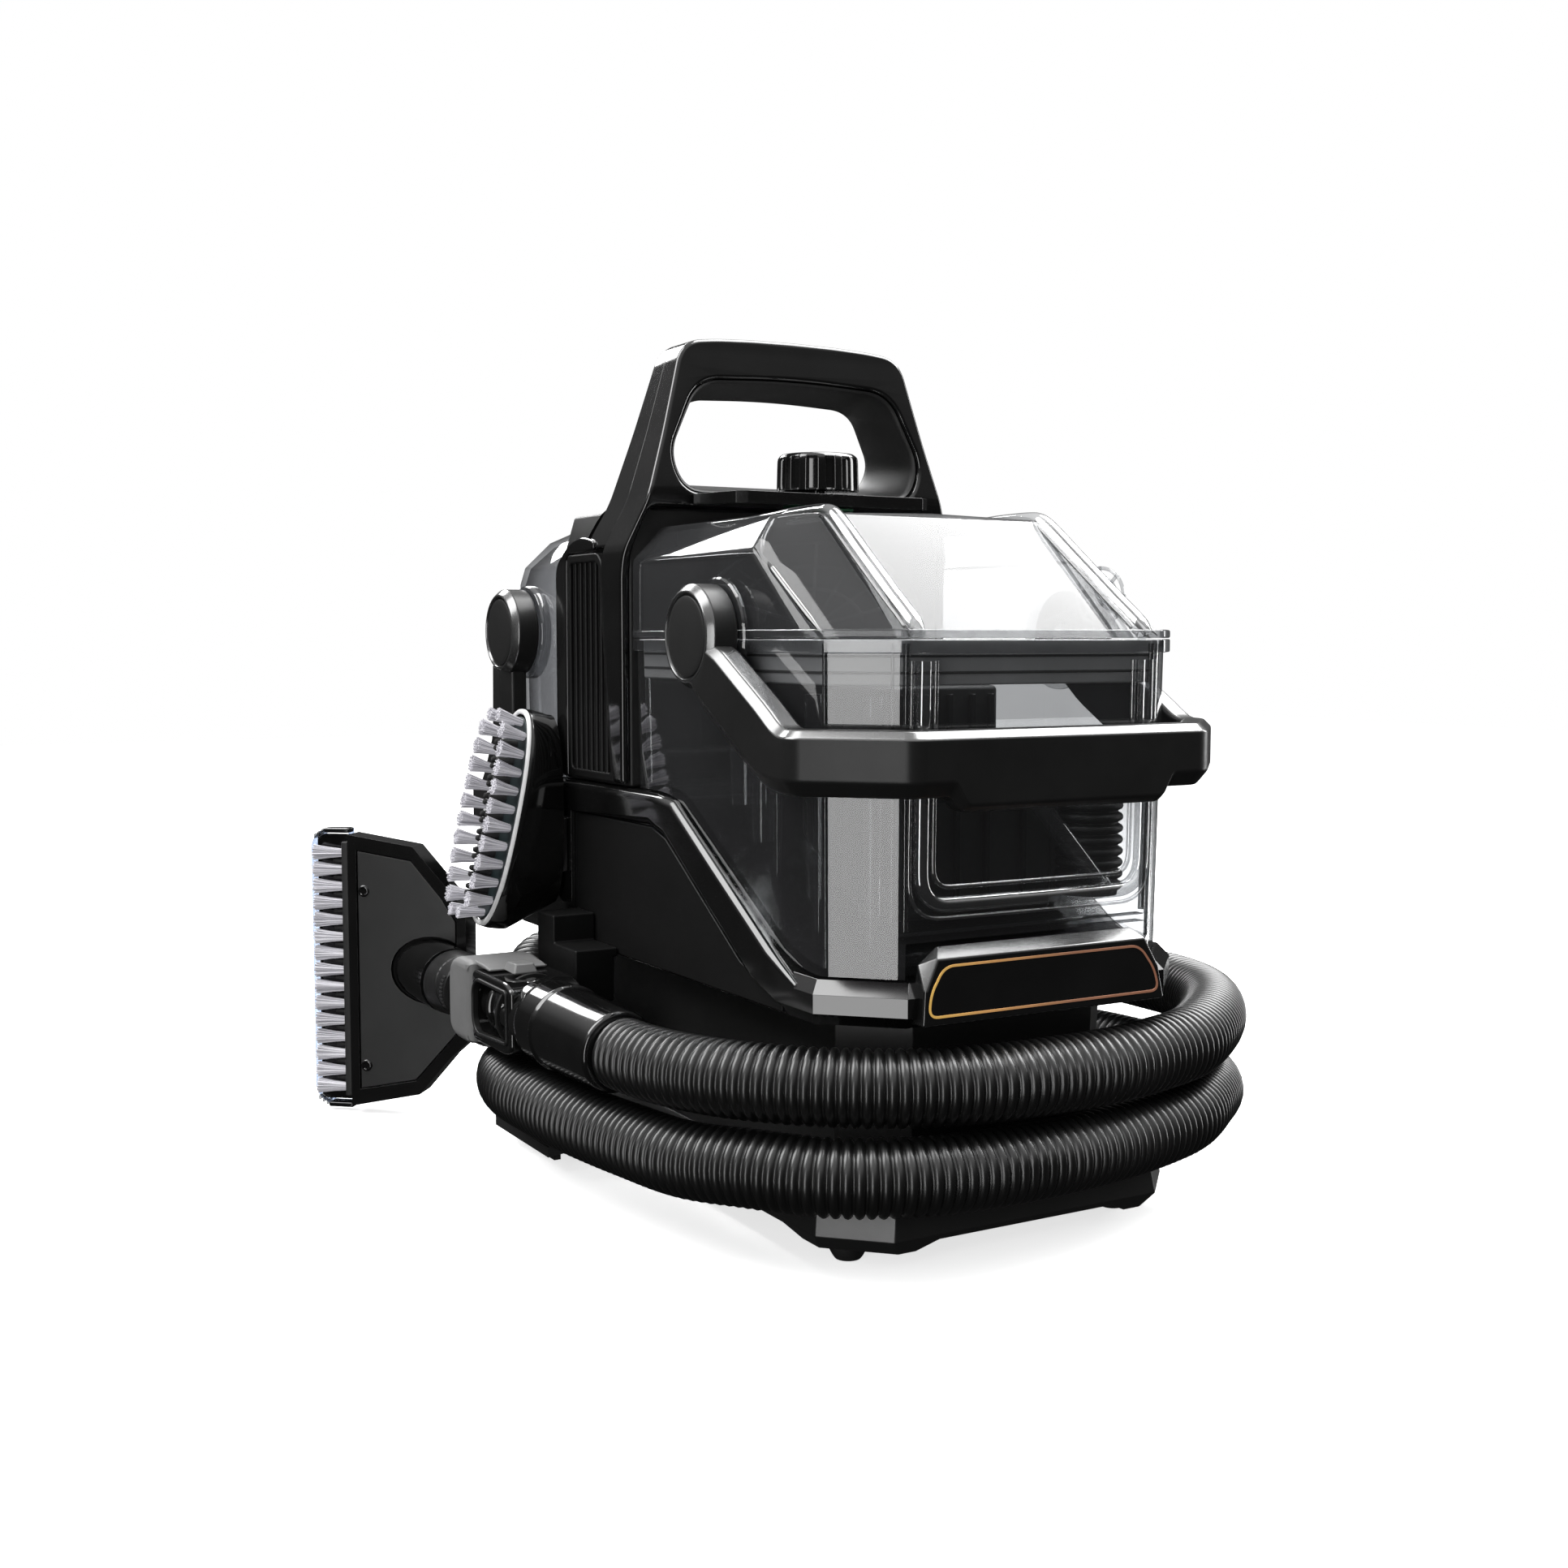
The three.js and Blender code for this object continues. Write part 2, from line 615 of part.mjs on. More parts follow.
// the bail and the caps of its two hubs, as assembly entries
const bailParts = (place, axis, profile, ...crossbar) => [
  [
    `${place}_bail`,
    join(
      ...SIDES.map((side) => hub(side, axis)),
      ...SIDES.map((side) => bailArm(side, axis, profile)),
      ...crossbar,
    ),
    SATIN,
  ],
  [`${place}_hub_cap_left`, hubCap(-1, axis), SATIN],
  [`${place}_hub_cap_right`, hubCap(1, axis), SATIN],
];
function frontBail() {
  const arm = [
    [-104, 260], [-112, 256], [-168, 226], [-172, 213], [-172, 199],
    [-158, 195], [-146, 200], [-76, 242.5], [-70, 256],
  ];
  const plan = mirrored([
    [75, -212.5], [112, -174.5], [112, -150],
    [BAIL_INSIDE, -150], [BAIL_INSIDE, -171], [71, -197.5],
  ]);
  const profile = [[-214, 200], [-214, 225.5], [-164, 226], [-160, 197], [-172, 197]];
  const bar = common(prismZ(plan, 190, 228), prismX(profile, -120, 120));
  const grip = prismY(mirrored([[50, 193], [56, 201], [56, 225.5]]), -213.5, -197);
  return bailParts("front", FRONT_HUB, arm, bar, grip);
}
function rearBail() {
  const arm = [
    [129, 262], [131, 208], [150, 172], [168, 156], [186, 154],
    [186, 180], [172, 184], [154, 214], [153, 258],
  ];
  const plan = mirrored([
    [78, 198.4], [BAIL_INSIDE, 178], [BAIL_INSIDE, 168],
    [112, 168], [112, 184], [84, 212],
  ]);
  return bailParts("rear", REAR_HUB, arm, prismZ(plan, 155, 182));
}

// ---- clean water tank, at the rear -----------------------------------------
const REAR_TANK_BASE = REAR_SHELF + GAP;

function rearTank() {
  const outer = octagonLoft([
    [REAR_TANK_BASE, 89.4, 101, 184.6, 6, 28],
    [292, TANK_HALF, 100.2, 186.4, 6, 28],
    [301, 89, 100.2, 184, 6, 27],
    [314.5, 77, 100.4, 175, 6, 25],
    [322.6, 60, 101, 164, 5, 22],
  ]);
  const inner = octagonLoft([
    [REAR_TANK_BASE + WALL, 86.8, 103.6, 182, 5, 27],
    [292, TANK_HALF - WALL, 102.8, 183.8, 5, 27],
    [300, 86.6, 102.8, 181.4, 5, 26],
    [312, 75.4, 103, 173, 5, 24],
    [320, 58.6, 103.6, 162, 4, 21],
  ]);
  const pivots = SIDES.map((side) =>
    join(rodX(REAR_HUB, side * 89.8, side * 96.5, 25.5), hubPin(side, REAR_HUB)),
  );
  return join(
    cut(outer, inner, rodZ(FILL, 310, 330, 14.2), rodZ(VALVE, 165, 180, 8.4, 20)),
    ...pivots,
  );
}
const tankValve = () =>
  join(
    rodZ(VALVE, 164, 186, 7.9, 20),
    rodZ(VALVE, REAR_TANK_BASE + WALL + 0.4, 180, 12, 20),
  );
const fillCap = () =>
  join(prismZ(fluted(FILL, 32, 19, 17.6), 323, 331), rodZ(FILL, 316.5, 323.5, 13.6));

// ---- inside the machine ----------------------------------------------------
const PAN_CONTACT = 16 + GAP; // underside of the pieces that stand on the base pan

const motorHousing = () =>
  join(
    cut(
      rodZ(MOTOR, 196, 250, 35, 28),
      rodZ(MOTOR, 200, 252, 32, 28),
      rodZ(MOTOR, 190, 202, 4.2, 14),
    ),
    box(-60, -30, 50, 66, 192.5, 199),
    box(30, 60, 50, 66, 192.5, 199),
  );
const airDuct = () =>
  cut(
    join(rodZ(MOTOR, 104, 182, 20.8), rodZ(MOTOR, 120, 124, 26)),
    rodZ(MOTOR, 100, 190, 18),
  );
const pumpBody = () =>
  cut(
    join(
      box(-32, 18, -138, -98, 36, 78),
      rodX(PUMP, 17, 40, 13, 20),
      box(-32, 18, -142, -94, PAN_CONTACT, 37),
    ),
    rodX(PUMP, 26, 45, 6.4, 16),
  );
const pumpPlunger = () => join(rodX(PUMP, 31, 50, 5.9, 16), rodX(PUMP, 49.9, 54, 9, 16));

// a barrel lying along y, on two saddles
function steamBoiler() {
  const axis = (y) => [0, y, 60];
  return join(
    rod(axis(-72), axis(22), 26, 16),
    rod(axis(-80), axis(-71), 16, 16, 26),
    rod(axis(21), axis(30), 26, 16, 16),
    box(-30, 30, -60, -50, PAN_CONTACT, 50),
    box(-30, 30, 0, 10, PAN_CONTACT, 50),
  );
}
// an upright board, a block and a can on its front, and a foot
const circuitBoard = () =>
  join(
    box(-48, 48, 122, 124.4, 34, 92),
    box(-36, -16, 112, 122.2, 50, 72),
    rod([20, 110, 60], [20, 122.2, 60], 8, 14),
    box(-48, 48, 118, 128, PAN_CONTACT, 34.2),
  );
const motorRotor = () => join(rodZ(MOTOR, 197, 276, 3.2, 12), rodZ(MOTOR, 207, 243, 22));

function motorFan() {
  const toMotor = new THREE.Matrix4().makeTranslation(...MOTOR, 0);
  const blades = Array.from({ length: 8 }, (_, i) => {
    const blade = new THREE.BoxGeometry(24, 1.8, 9).translate(18.5, 0, 263.2);
    const spin = new THREE.Matrix4().makeRotationZ(turn(i, 8));
    return toSolid(blade, toMotor.clone().multiply(spin));
  });
  return cut(
    join(rodZ(MOTOR, 256, 259, 31, 28), rodZ(MOTOR, 258.8, 270, 8, 16), ...blades),
    rodZ(MOTOR, 250, 280, 3.6, 12),
  );
}

// ---- hose and its rests ----------------------------------------------------
function hose() {
  const upper = 79;
  const lower = 41;
  const overSkirt = 43.8; // where the lower turn lies over the skirt
  // centre line (x, y, z), from the cuff to the port
  const path = [
    [-136.2, -70, 78], [-134.5, -88, 78], [-129, -114, 78.5], [-117, -142, upper],
    [-94, -169, upper], [-66, -188, upper], [-30, -199, upper], [4, -201, upper],
    [38, -199, upper], [68, -191.5, upper], [96, -181, upper], [143, -145, upper],
    [171, -111, upper], [183, -80, upper], [185, -45, upper], [183, -5, upper],
    [176, 40, upper], [162, 85, upper], [140, 124, upper], [108, 158, upper],
    [70, 180, upper], [30, 187, upper], [-10, 188, upper], [-46, 186.5, upper],
    [-74, 175, 76], [-90, 153, 66], [-96, 132, 55], [-105, 113, 46.5],
    [-120, 94, lower], [-137, 66, lower], [-145, 38, lower], [-145.5, 0, lower],
    [-143, -38, lower], [-137, -80, lower], [-130, -122, 42], [-116, -152, overSkirt],
    [-96, -178, overSkirt], [-70, -193.5, overSkirt], [-36, -200.6, overSkirt],
    [4, -201, overSkirt], [40, -196.5, overSkirt], [70, -189, overSkirt],
    [96, -179, overSkirt], [122, -161, overSkirt], [150, -137, 42], [168, -110, lower],
    [176, -78, lower], [177, -42, lower], [170, -8, lower], [156, 24, lower],
    [136, 48, 42], [116, 58.5, 45], [98, ...HOSE_PORT],
  ];
  return tube(path, 70, 17, 8, 14);
}
const hosePort = () =>
  cut(
    join(rodX(HOSE_PORT, 72.4, 94, 18.4, 20), rodX(HOSE_PORT, 66, 72.6, 12.4, 20)),
    rodX(HOSE_PORT, 60, 110, 10, 20),
  );
const hoseCuff = () =>
  cut(
    join(
      rod([-136.5, -68.6, 78], [-137, -60, 78.2], 18.4, 20, 19.4),
      rod([-137, -60.2, 78.2], [-141, 3, 80.5], 19.4, 20, 20.6),
    ),
    rod([-136, -76, 77.9], [-141.6, 12, 80.9], 13, 14),
  );
const brushClip = () => box(-98.5, -95.9, 84, 104, 140, 168);
const toolDock = () =>
  join(
    box(-117, -96, 26, 75, 81, 103.5),
    box(-117, -93.9, 54, 75, 103.3, 122),
    box(-117, -93.9, 26, 54, 103.3, 108),
  );
// a sloping shelf on the left side, with a raised rear edge and ribs underneath
function hoseRestTab() {
  // each end is y0, y1, z0, z1
  const wedge = (rootEnd, tipEnd) =>
    hull(
      [[-93.9, rootEnd], [-135, tipEnd]].flatMap(([x, [y0, y1, z0, z1]]) => [
        [x, y0, z0], [x, y1, z0], [x, y0, z1], [x, y1, z1],
      ]),
    );
  const ribs = [0, 1, 2, 3].map((i) => {
    const x = -131 + i * 9.5;
    return box(x, x + 3.5, 22, 88, 5.6 + i * 1.2, 10.4 + i * 1.2);
  });
  return join(
    wedge([16, 91, 14, 20], [20, 91, 8, 13]),
    wedge([86, 91, 15, 22.4], [86, 91, 9, 17]),
    ...ribs,
  );
}

// ---- hand grip -------------------------------------------------------------
// a barrel with a window round the trigger
function gripBody() {
  // (x, y)
  const plan = [
    [-158, 5.6], [-152, 4.8], [-124, 4.8], [-121.5, 8.4], [-121.5, 57.5], [-160, 57.5], [-160, 8],
  ];
  const block = hull(
    plan.flatMap(([x, y]) => [
      [x, y, 68], [x, y, 93], [x * 0.93 - 10, y, 62.9], [x * 0.93 - 10, y, 98.3],
    ]),
  );
  const window = [[12, 71], [50, 69], [53, 74], [53, 88], [48, 92.5], [12, 92]];
  return cut(block, prismX(rounded(window, 6, 3), -170, -146));
}
function gripOvermould() {
  const profile = [
    [84, 100], [88, 96], [89, 90], [89, 69], [87.4, 63.6],
    [83, 60], [76, 59.2], [44, 59.6], [44, 62.3], [58, 62.3],
    [58, 98.8], [42, 98.8], [42, 101], [60, 101.6], [76, 101.6],
  ];
  return prismX(profile, -161, -122);
}
const gripNeck = () => rod([-147.5, 90.7, 81], [-148.4, 115.8, 81], 16, 20, 16.9);

function sprayTrigger() {
  const profile = [
    [23, 91], [30.4, 91], [28, 84], [28.5, 78], [33, 72.5], [27, 72.5], [22, 79], [22, 86],
  ];
  return prismX(profile, -157.6, -148);
}
const releaseButton = () =>
  hull([
    [-151, 22, 99.8], [-138, 22, 99.8], [-139, 39, 99.8], [-150, 39, 99.8],
    [-149.4, 24, 104.8], [-139.6, 24, 104.8], [-140.4, 37.6, 104], [-148.6, 37.6, 104],
  ]);

// ---- wide tool -------------------------------------------------------------
const TOOL = [-146, 160]; // x, y of its reference point
const TOOL_ANGLE = (50 * Math.PI) / 180;
const [COS, SIN] = [Math.cos(TOOL_ANGLE), Math.sin(TOOL_ANGLE)];

// local (s, n, z): s towards the nozzle mouth, n away from the bristle side
const onWideTool = ([s, n, z]) => [
  TOOL[0] - SIN * s + COS * n,
  TOOL[1] + COS * s + SIN * n,
  z,
];
// an outline (s, z) between two values of n
const slab = (outline, ...ends) =>
  loft(ends.map((n) => outline.map(([s, z]) => onWideTool([s, n, z]))));

const PLATE = [
  [-18, 47], [-10, 38], [6, 20], [38, 14], [38, 146], [7, 141], [-10, 121], [-18, 108],
];
function wideToolBody() {
  const fan = [
    [-24, 42], [-14, 33], [4, 12], [43.4, 4], [43.4, 155], [6, 149], [-14, 126], [-24, 114],
  ];
  // the plate's seat: its outline grown by about 0.6 from its middle
  const seat = PLATE.map(([s, z]) => [
    10 + (s - 10) * (1 + 0.6 / 28),
    79.5 + (z - 79.5) * (1 + 0.6 / 66),
  ]);
  const socket = cut(
    rod([-148.4, 117.8, 81], [-147, 176, 81], 17.4, 20, 17),
    slab([[-70, 20], [90, 20], [90, 140], [-70, 140]], 6.5, 70),
  );
  return cut(
    join(slab(fan, -8, 8), socket),
    slab(seat, -8.6, -6),
    rod([-148.5, 116, 81], [-148.1, 134, 81], 13, 20),
  );
}
const wideToolPlate = () =>
  cut(slab(PLATE, -7.8, -6.4), rod([-148.7, 105.8, 81], [-147, 176, 81], 18.6, 28));

// a lip with a side wall at each end
const wideToolNozzle = () =>
  join(
    slab([[44, 2], [58, 2], [68.9, 5], [68.9, 153], [58, 156], [44, 156]], 3, 5),
    slab([[44, 2], [68.9, 5], [68.9, 7], [44, 5]], -3, 4),
    slab([[44, 153], [68.9, 151], [68.9, 153], [44, 156]], -3, 4),
  );
function wideToolBristles() {
  const tufts = Array.from({ length: 15 }, (_, i) => {
    const z = 13.5 + i * 9.35;
    const ring = (s, a, b) =>
      [[-a, -b], [a, -b], [a, b], [-a, b]].map(([dn, dz]) =>
        onWideTool([s, -2.5 + dn, z + dz]),
      );
    return loft([ring(47.5, 2.2, 2.4), ring(66, 3.3, 3.8)]);
  });
  return join(slab([[43.9, 8.6], [48, 8.6], [48, 151], [43.9, 151]], -6.5, 1.5), ...tufts);
}

// ---- oval tool, on the left side -------------------------------------------
const OVAL_CENTRE = [-127, 98.5, 169];
const OVAL_LENGTHWAYS = [0.222, 0, 0.975];
const OVAL_OUTWARD = [-0.975, 0, 0.222];

// local (e, y, w): e lengthways, w outward to the bristle side
const onOvalTool = (e, y, w) =>
  OVAL_CENTRE.map((c, d) => c + [0, y, 0][d] + OVAL_LENGTHWAYS[d] * e + OVAL_OUTWARD[d] * w);
const oval = (a, b) =>
  Array.from({ length: 24 }, (_, i) => {
    const c = Math.cos(turn(i, 24));
    const s = Math.sin(turn(i, 24));
    return [Math.sign(c) * a * Math.abs(c) ** 0.85, Math.sign(s) * b * Math.abs(s) ** 0.85];
  });
const ovalFace = (a, b, w) => oval(a, b).map(([e, y]) => onOvalTool(e, y, w));

function ovalToolBody() {
  const [, middleY, middleZ] = OVAL_CENTRE;
  const skin = loft([
    ovalFace(57, 24.5, 0),
    ovalFace(58, 25, -4),
    ovalFace(57, 23.6, -13).map(([x, y, z]) => [Math.min(-99.2, x), y, z]),
    // upright seat against the machine
    oval(48, 17).map(([e, y]) => [-98.9, middleY + y, middleZ + 3 + e]),
  ]);
  return cut(skin, loft([ovalFace(54.4, 21.8, 1), ovalFace(54.4, 21.8, -1.6)]));
}
function ovalToolBristles() {
  const [a, b] = [48.5, 16]; // half axes of the ring of tufts
  const tufts = oval(a, b).map(([e, y]) => {
    const ring = (w, half, splay) =>
      [[-half, -half], [half, -half], [half, half], [-half, half]].map(([de, dy]) =>
        onOvalTool(e * (1 + splay / 48) + de, y * (1 + splay / 16) + dy, w),
      );
    return loft([ring(1, 2.2, 0), ring(15.5, 3.1, 1.6 * Math.hypot(e / a, y / b))]);
  });
  return join(loft([ovalFace(53.8, 21.2, -1.2), ovalFace(53.8, 21.2, 1.2)]), ...tufts);
}

// ---- assembly: group name, then name, solid and finish of each piece -------
const ASSEMBLY = {
  base: [
    ["lower_housing", lowerHousing(), MATTE],
    ["base_pan", basePan(), MATTE],
    ...Object.entries(FEET).map(([place, foot]) => [`foot_pad_${place}`, footPad(foot), RUBBER]),
    ["body_shell", bodyShell(), GLOSS],
    ["side_panel_left", sidePanel(-1), MATTE],
    ["side_panel_right", sidePanel(1), MATTE],
    ["badge_plate", badgePlate(), GLOSS],
    ["cord_hook", cordHook(), GLOSS],
    ["power_cord", powerCord(), RUBBER],
    ["center_housing", centerHousing(), MATTE],
    ["grille_left", grille(-1), MATTE],
    ["grille_right", grille(1), MATTE],
    ["handle_front_shell", handleFrontShell(), GLOSS],
    ["handle_rear_shell", handleRearShell(), GLOSS],
    ["handle_liner", handleLiner(), MATTE],
    ["dial_platform", dialPlatform(), GLOSS],
    ["dial_switch", dialSwitch(), MATTE],
    ["motor_housing", motorHousing(), METAL],
    ["air_duct", airDuct(), MATTE],
    ["pump_body", pumpBody(), WHITE],
    ["steam_boiler", steamBoiler(), METAL],
    ["circuit_board", circuitBoard(), BOARD],
    ["hose", hose(), RUBBER],
    ["hose_port", hosePort(), GLOSS],
    ["hose_cuff", hoseCuff(), GLOSS],
    ["grip_body", gripBody(), GLOSS],
    ["grip_overmould", gripOvermould(), GREY],
    ["grip_neck", gripNeck(), SATIN],
    ["brush_clip", brushClip(), MATTE],
    ["tool_dock", toolDock(), MATTE],
    ["hose_rest_tab", hoseRestTab(), MATTE],
  ],
  dial: [["dial_knob", dialKnob(), GLOSS]],
  front_tank: [
    ["front_tank_tub", frontTankTub(), CLEAR],
    ["tank_separator", tankSeparator(), MATTE],
  ],
  tank_float: [["tank_float", tankFloat(), RUBBER]],
  front_lid: [
    ["front_lid", frontLid(), CLEAR],
    ["lid_gasket", lidGasket(), GREY],
  ],
  front_bail: frontBail(),
  rear_tank: [
    ["rear_tank", rearTank(), CLEAR],
    ["tank_valve", tankValve(), WHITE],
  ],
  fill_cap: [["fill_cap", fillCap(), MATTE]],
  rear_bail: rearBail(),
  rotor: [
    ["motor_rotor", motorRotor(), METAL],
    ["motor_fan", motorFan(), GREY],
  ],
  pump_plunger: [["pump_plunger", pumpPlunger(), METAL]],
  spray_trigger: [["spray_trigger", sprayTrigger(), SATIN]],
  release_button: [["release_button", releaseButton(), SATIN]],
  wide_tool: [
    ["wide_tool_body", wideToolBody(), GLOSS],
    ["wide_tool_plate", wideToolPlate(), SATIN],
    ["wide_tool_nozzle", wideToolNozzle(), CLEAR],
    ["wide_tool_bristles", wideToolBristles(), BRISTLE],
  ],
  oval_tool: [
    ["oval_tool_body", ovalToolBody(), GLOSS],
    ["oval_tool_bristles", ovalToolBristles(), BRISTLE],
  ],
};

function namedMesh(name, solid, finish) {
  const { vertProperties, triVerts } = solid.getMesh();
  const geometry = new THREE.BufferGeometry();
  geometry.setAttribute("position", new THREE.Float32BufferAttribute(vertProperties, 3));
  geometry.setIndex(new THREE.Uint32BufferAttribute(triVerts, 1));
  geometry.computeVertexNormals();
  const mesh = new THREE.Mesh(geometry, new THREE.MeshStandardMaterial(finish));
  mesh.name = name;
  return mesh;
}

const machine = new THREE.Group();
for (const [name, parts] of Object.entries(ASSEMBLY)) {
  const group = new THREE.Group();
  group.name = name;
  group.add(...parts.map((part) => namedMesh(...part)));
  machine.add(group);
}

export default machine;
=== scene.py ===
# Portable wet cleaner: a low base with a hose wound round it, a clear tank with a lid in front,
# a clear clean-water tank behind, an upright handle between them and two brush tools.
# It stands on z = 0 with its front towards -Y, its left side at -X and +Z up.
# Shapes are worked out in millimetres; piece() scales each one to metres.
import bpy, bmesh, math, random
import numpy as np
from contextlib import contextmanager
from mathutils import Vector, Matrix
from mathutils.geometry import tessellate_polygon

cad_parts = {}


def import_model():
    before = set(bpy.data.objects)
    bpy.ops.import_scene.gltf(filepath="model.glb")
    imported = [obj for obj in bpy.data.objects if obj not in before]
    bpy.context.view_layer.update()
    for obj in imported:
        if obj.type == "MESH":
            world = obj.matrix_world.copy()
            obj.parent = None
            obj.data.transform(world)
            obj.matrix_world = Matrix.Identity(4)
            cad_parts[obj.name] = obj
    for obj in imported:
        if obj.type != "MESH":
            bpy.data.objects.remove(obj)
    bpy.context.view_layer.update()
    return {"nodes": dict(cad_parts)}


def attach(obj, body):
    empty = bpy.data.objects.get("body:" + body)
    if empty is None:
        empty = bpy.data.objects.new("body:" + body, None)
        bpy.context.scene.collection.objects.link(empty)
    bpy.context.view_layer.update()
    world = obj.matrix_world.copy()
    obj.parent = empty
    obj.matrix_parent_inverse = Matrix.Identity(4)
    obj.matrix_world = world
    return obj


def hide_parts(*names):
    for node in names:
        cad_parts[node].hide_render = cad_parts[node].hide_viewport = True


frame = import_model()
scene = bpy.context.scene

MM = 0.001
SIDES = (("left", -1), ("right", 1))
UP = (0, 0, 1)

# Shared by several pieces
SEAM = 262.2                   # height of the joint between front tank and lid
TUB_BOTTOM, TUB_TOP = 118, SEAM - 0.4
FRONT_PIVOT = (-84.4, 263)     # y, z of each bail's pivot
REAR_PIVOT = (139.2, 265.6)
BAIL_X = 111.8                 # outer face of the bail arms
BAIL_THICK = 13.4
KNOB_Y = -11


# ---------------------------------------------------------------- materials
def rgb(value):
    return value if isinstance(value, tuple) else (value,) * 3


class Shader:
    """Node tree of a material or world. Inputs may be sockets, numbers, colours or None (left)."""

    def __init__(self, owner, output="OutputMaterial"):
        self.owner = owner
        owner.use_nodes = True
        self.tree = owner.node_tree
        self.tree.nodes.clear()
        self.output = self.node(output)
        self.coordinates = None

    def node(self, kind, inputs=None, **settings):
        node = self.tree.nodes.new("ShaderNode" + kind)
        for key, value in settings.items():
            setattr(node, key, value)
        for key, value in (inputs or {}).items():
            if isinstance(value, bpy.types.NodeSocket):
                self.tree.links.new(value, node.inputs[key])
            elif value is not None:
                node.inputs[key].default_value = (*value, 1) if isinstance(value, tuple) else value
        return node

    def surface(self, node):
        self.tree.links.new(node.outputs[0], self.output.inputs["Surface"])

    def position(self):
        if self.coordinates is None:
            self.coordinates = self.node("TexCoord")
        return self.coordinates.outputs["Object"]

    def noise(self, scale, detail, roughness):
        inputs = {"Scale": scale, "Detail": detail, "Roughness": roughness}
        return self.node("TexNoise", {**inputs, "Vector": self.position()}).outputs["Fac"]

    def ramp(self, factor, stops):
        node = self.node("ValToRGB", {"Fac": factor})
        elements = node.color_ramp.elements
        while len(elements) < len(stops):
            elements.new(0.5)
        for element, (position, color) in zip(elements, stops):
            element.position = position
            element.color = (*rgb(color), 1)
        return node.outputs["Color"]

    def remap(self, value, low, high, from_low=0.0, from_high=1.0):
        inputs = {"From Min": from_low, "From Max": from_high, "To Min": low, "To Max": high}
        return self.node("MapRange", {**inputs, "Value": value}).outputs["Result"]

    def uneven(self, low, high, **noise):
        """A value that wanders between low and high."""
        return self.remap(self.noise(**noise), low, high, 0.3, 0.7)

    def bump(self, height, strength, distance, normal=None):
        inputs = {"Strength": strength, "Distance": distance, "Height": height, "Normal": normal}
        return self.node("Bump", inputs).outputs["Normal"]

    def mix_color(self, factor, first, second, **settings):
        inputs = {0: factor, 6: first, 7: second}
        return self.node("Mix", inputs, data_type="RGBA", **settings).outputs[2]


def plastic(name, dark, light, rough, spread, grain, grain_scale, wave, edge, specular):
    """Moulded plastic: faint mottling, uneven gloss, fine tooling grain, slightly rubbed edges."""
    shader = Shader(bpy.data.materials.new(name))
    mottling = shader.noise(scale=38, detail=4, roughness=0.6)
    color = shader.ramp(mottling, [(0.3, dark), (0.7, light)])
    if edge:
        pointiness = shader.node("NewGeometry").outputs["Pointiness"]
        worn = shader.remap(pointiness, 0, 1, from_low=0.52, from_high=0.62)
        color = shader.mix_color(worn, color, tuple(min(1, c * (1 + edge)) for c in rgb(light)))
    roughness = shader.uneven(rough - spread, rough + spread, scale=14, detail=6, roughness=0.65)
    normal = None
    if wave:
        swell = shader.noise(scale=22, detail=1, roughness=0.4)
        normal = shader.bump(swell, wave, distance=0.0006)
    if grain:
        pores = shader.noise(scale=grain_scale, detail=2, roughness=0.7)
        normal = shader.bump(pores, grain, distance=0.00012, normal=normal)
    shader.surface(shader.node("BsdfPrincipled", {
        "Base Color": color, "Roughness": roughness, "Specular IOR Level": specular,
        "Normal": normal,
    }))
    return shader.owner


def clear_plastic(name, tint, edge_tint, rough, ior, haze):
    """Thin clear moulding: lets light straight through, darkens and mirrors towards its edges."""
    shader = Shader(bpy.data.materials.new(name))
    facing = shader.node("LayerWeight", {"Blend": 0.35}).outputs["Facing"]
    middle = tuple(c * 0.93 for c in tint)
    color = shader.ramp(facing, [(0.0, tint), (0.55, middle), (0.96, edge_tint)])
    mottling = shader.uneven(0.94, 1.0, scale=9, detail=2, roughness=0.5)
    color = shader.mix_color(1, color, mottling, blend_type="MULTIPLY")
    through = shader.node("BsdfTransparent", {"Color": color})
    waves = shader.noise(scale=12, detail=1, roughness=0.4)
    mirror = shader.node("BsdfGlossy", {
        "Color": (1, 1, 1),
        "Roughness": shader.uneven(rough * 0.6, rough * 1.6, scale=16, detail=5, roughness=0.6),
        "Normal": shader.bump(waves, strength=0.05, distance=0.0008),
    })
    # only front faces mirror
    fresnel = shader.node("Fresnel", {"IOR": ior}).outputs[0]
    backfacing = shader.node("NewGeometry").outputs["Backfacing"]
    front = shader.node("Math", {0: 1, 1: backfacing}, operation="SUBTRACT").outputs[0]
    factor = shader.node("Math", {0: fresnel, 1: front}, operation="MULTIPLY").outputs[0]
    glass = shader.node("MixShader", {0: factor, 1: through.outputs[0], 2: mirror.outputs[0]})
    milk = shader.node("BsdfDiffuse", {"Color": (0.42, 0.425, 0.44)})
    veil = shader.uneven(haze * 0.7, haze * 1.3, scale=7, detail=3, roughness=0.6)
    shader.surface(shader.node("MixShader", {0: veil, 1: glass.outputs[0], 2: milk.outputs[0]}))
    return shader.owner


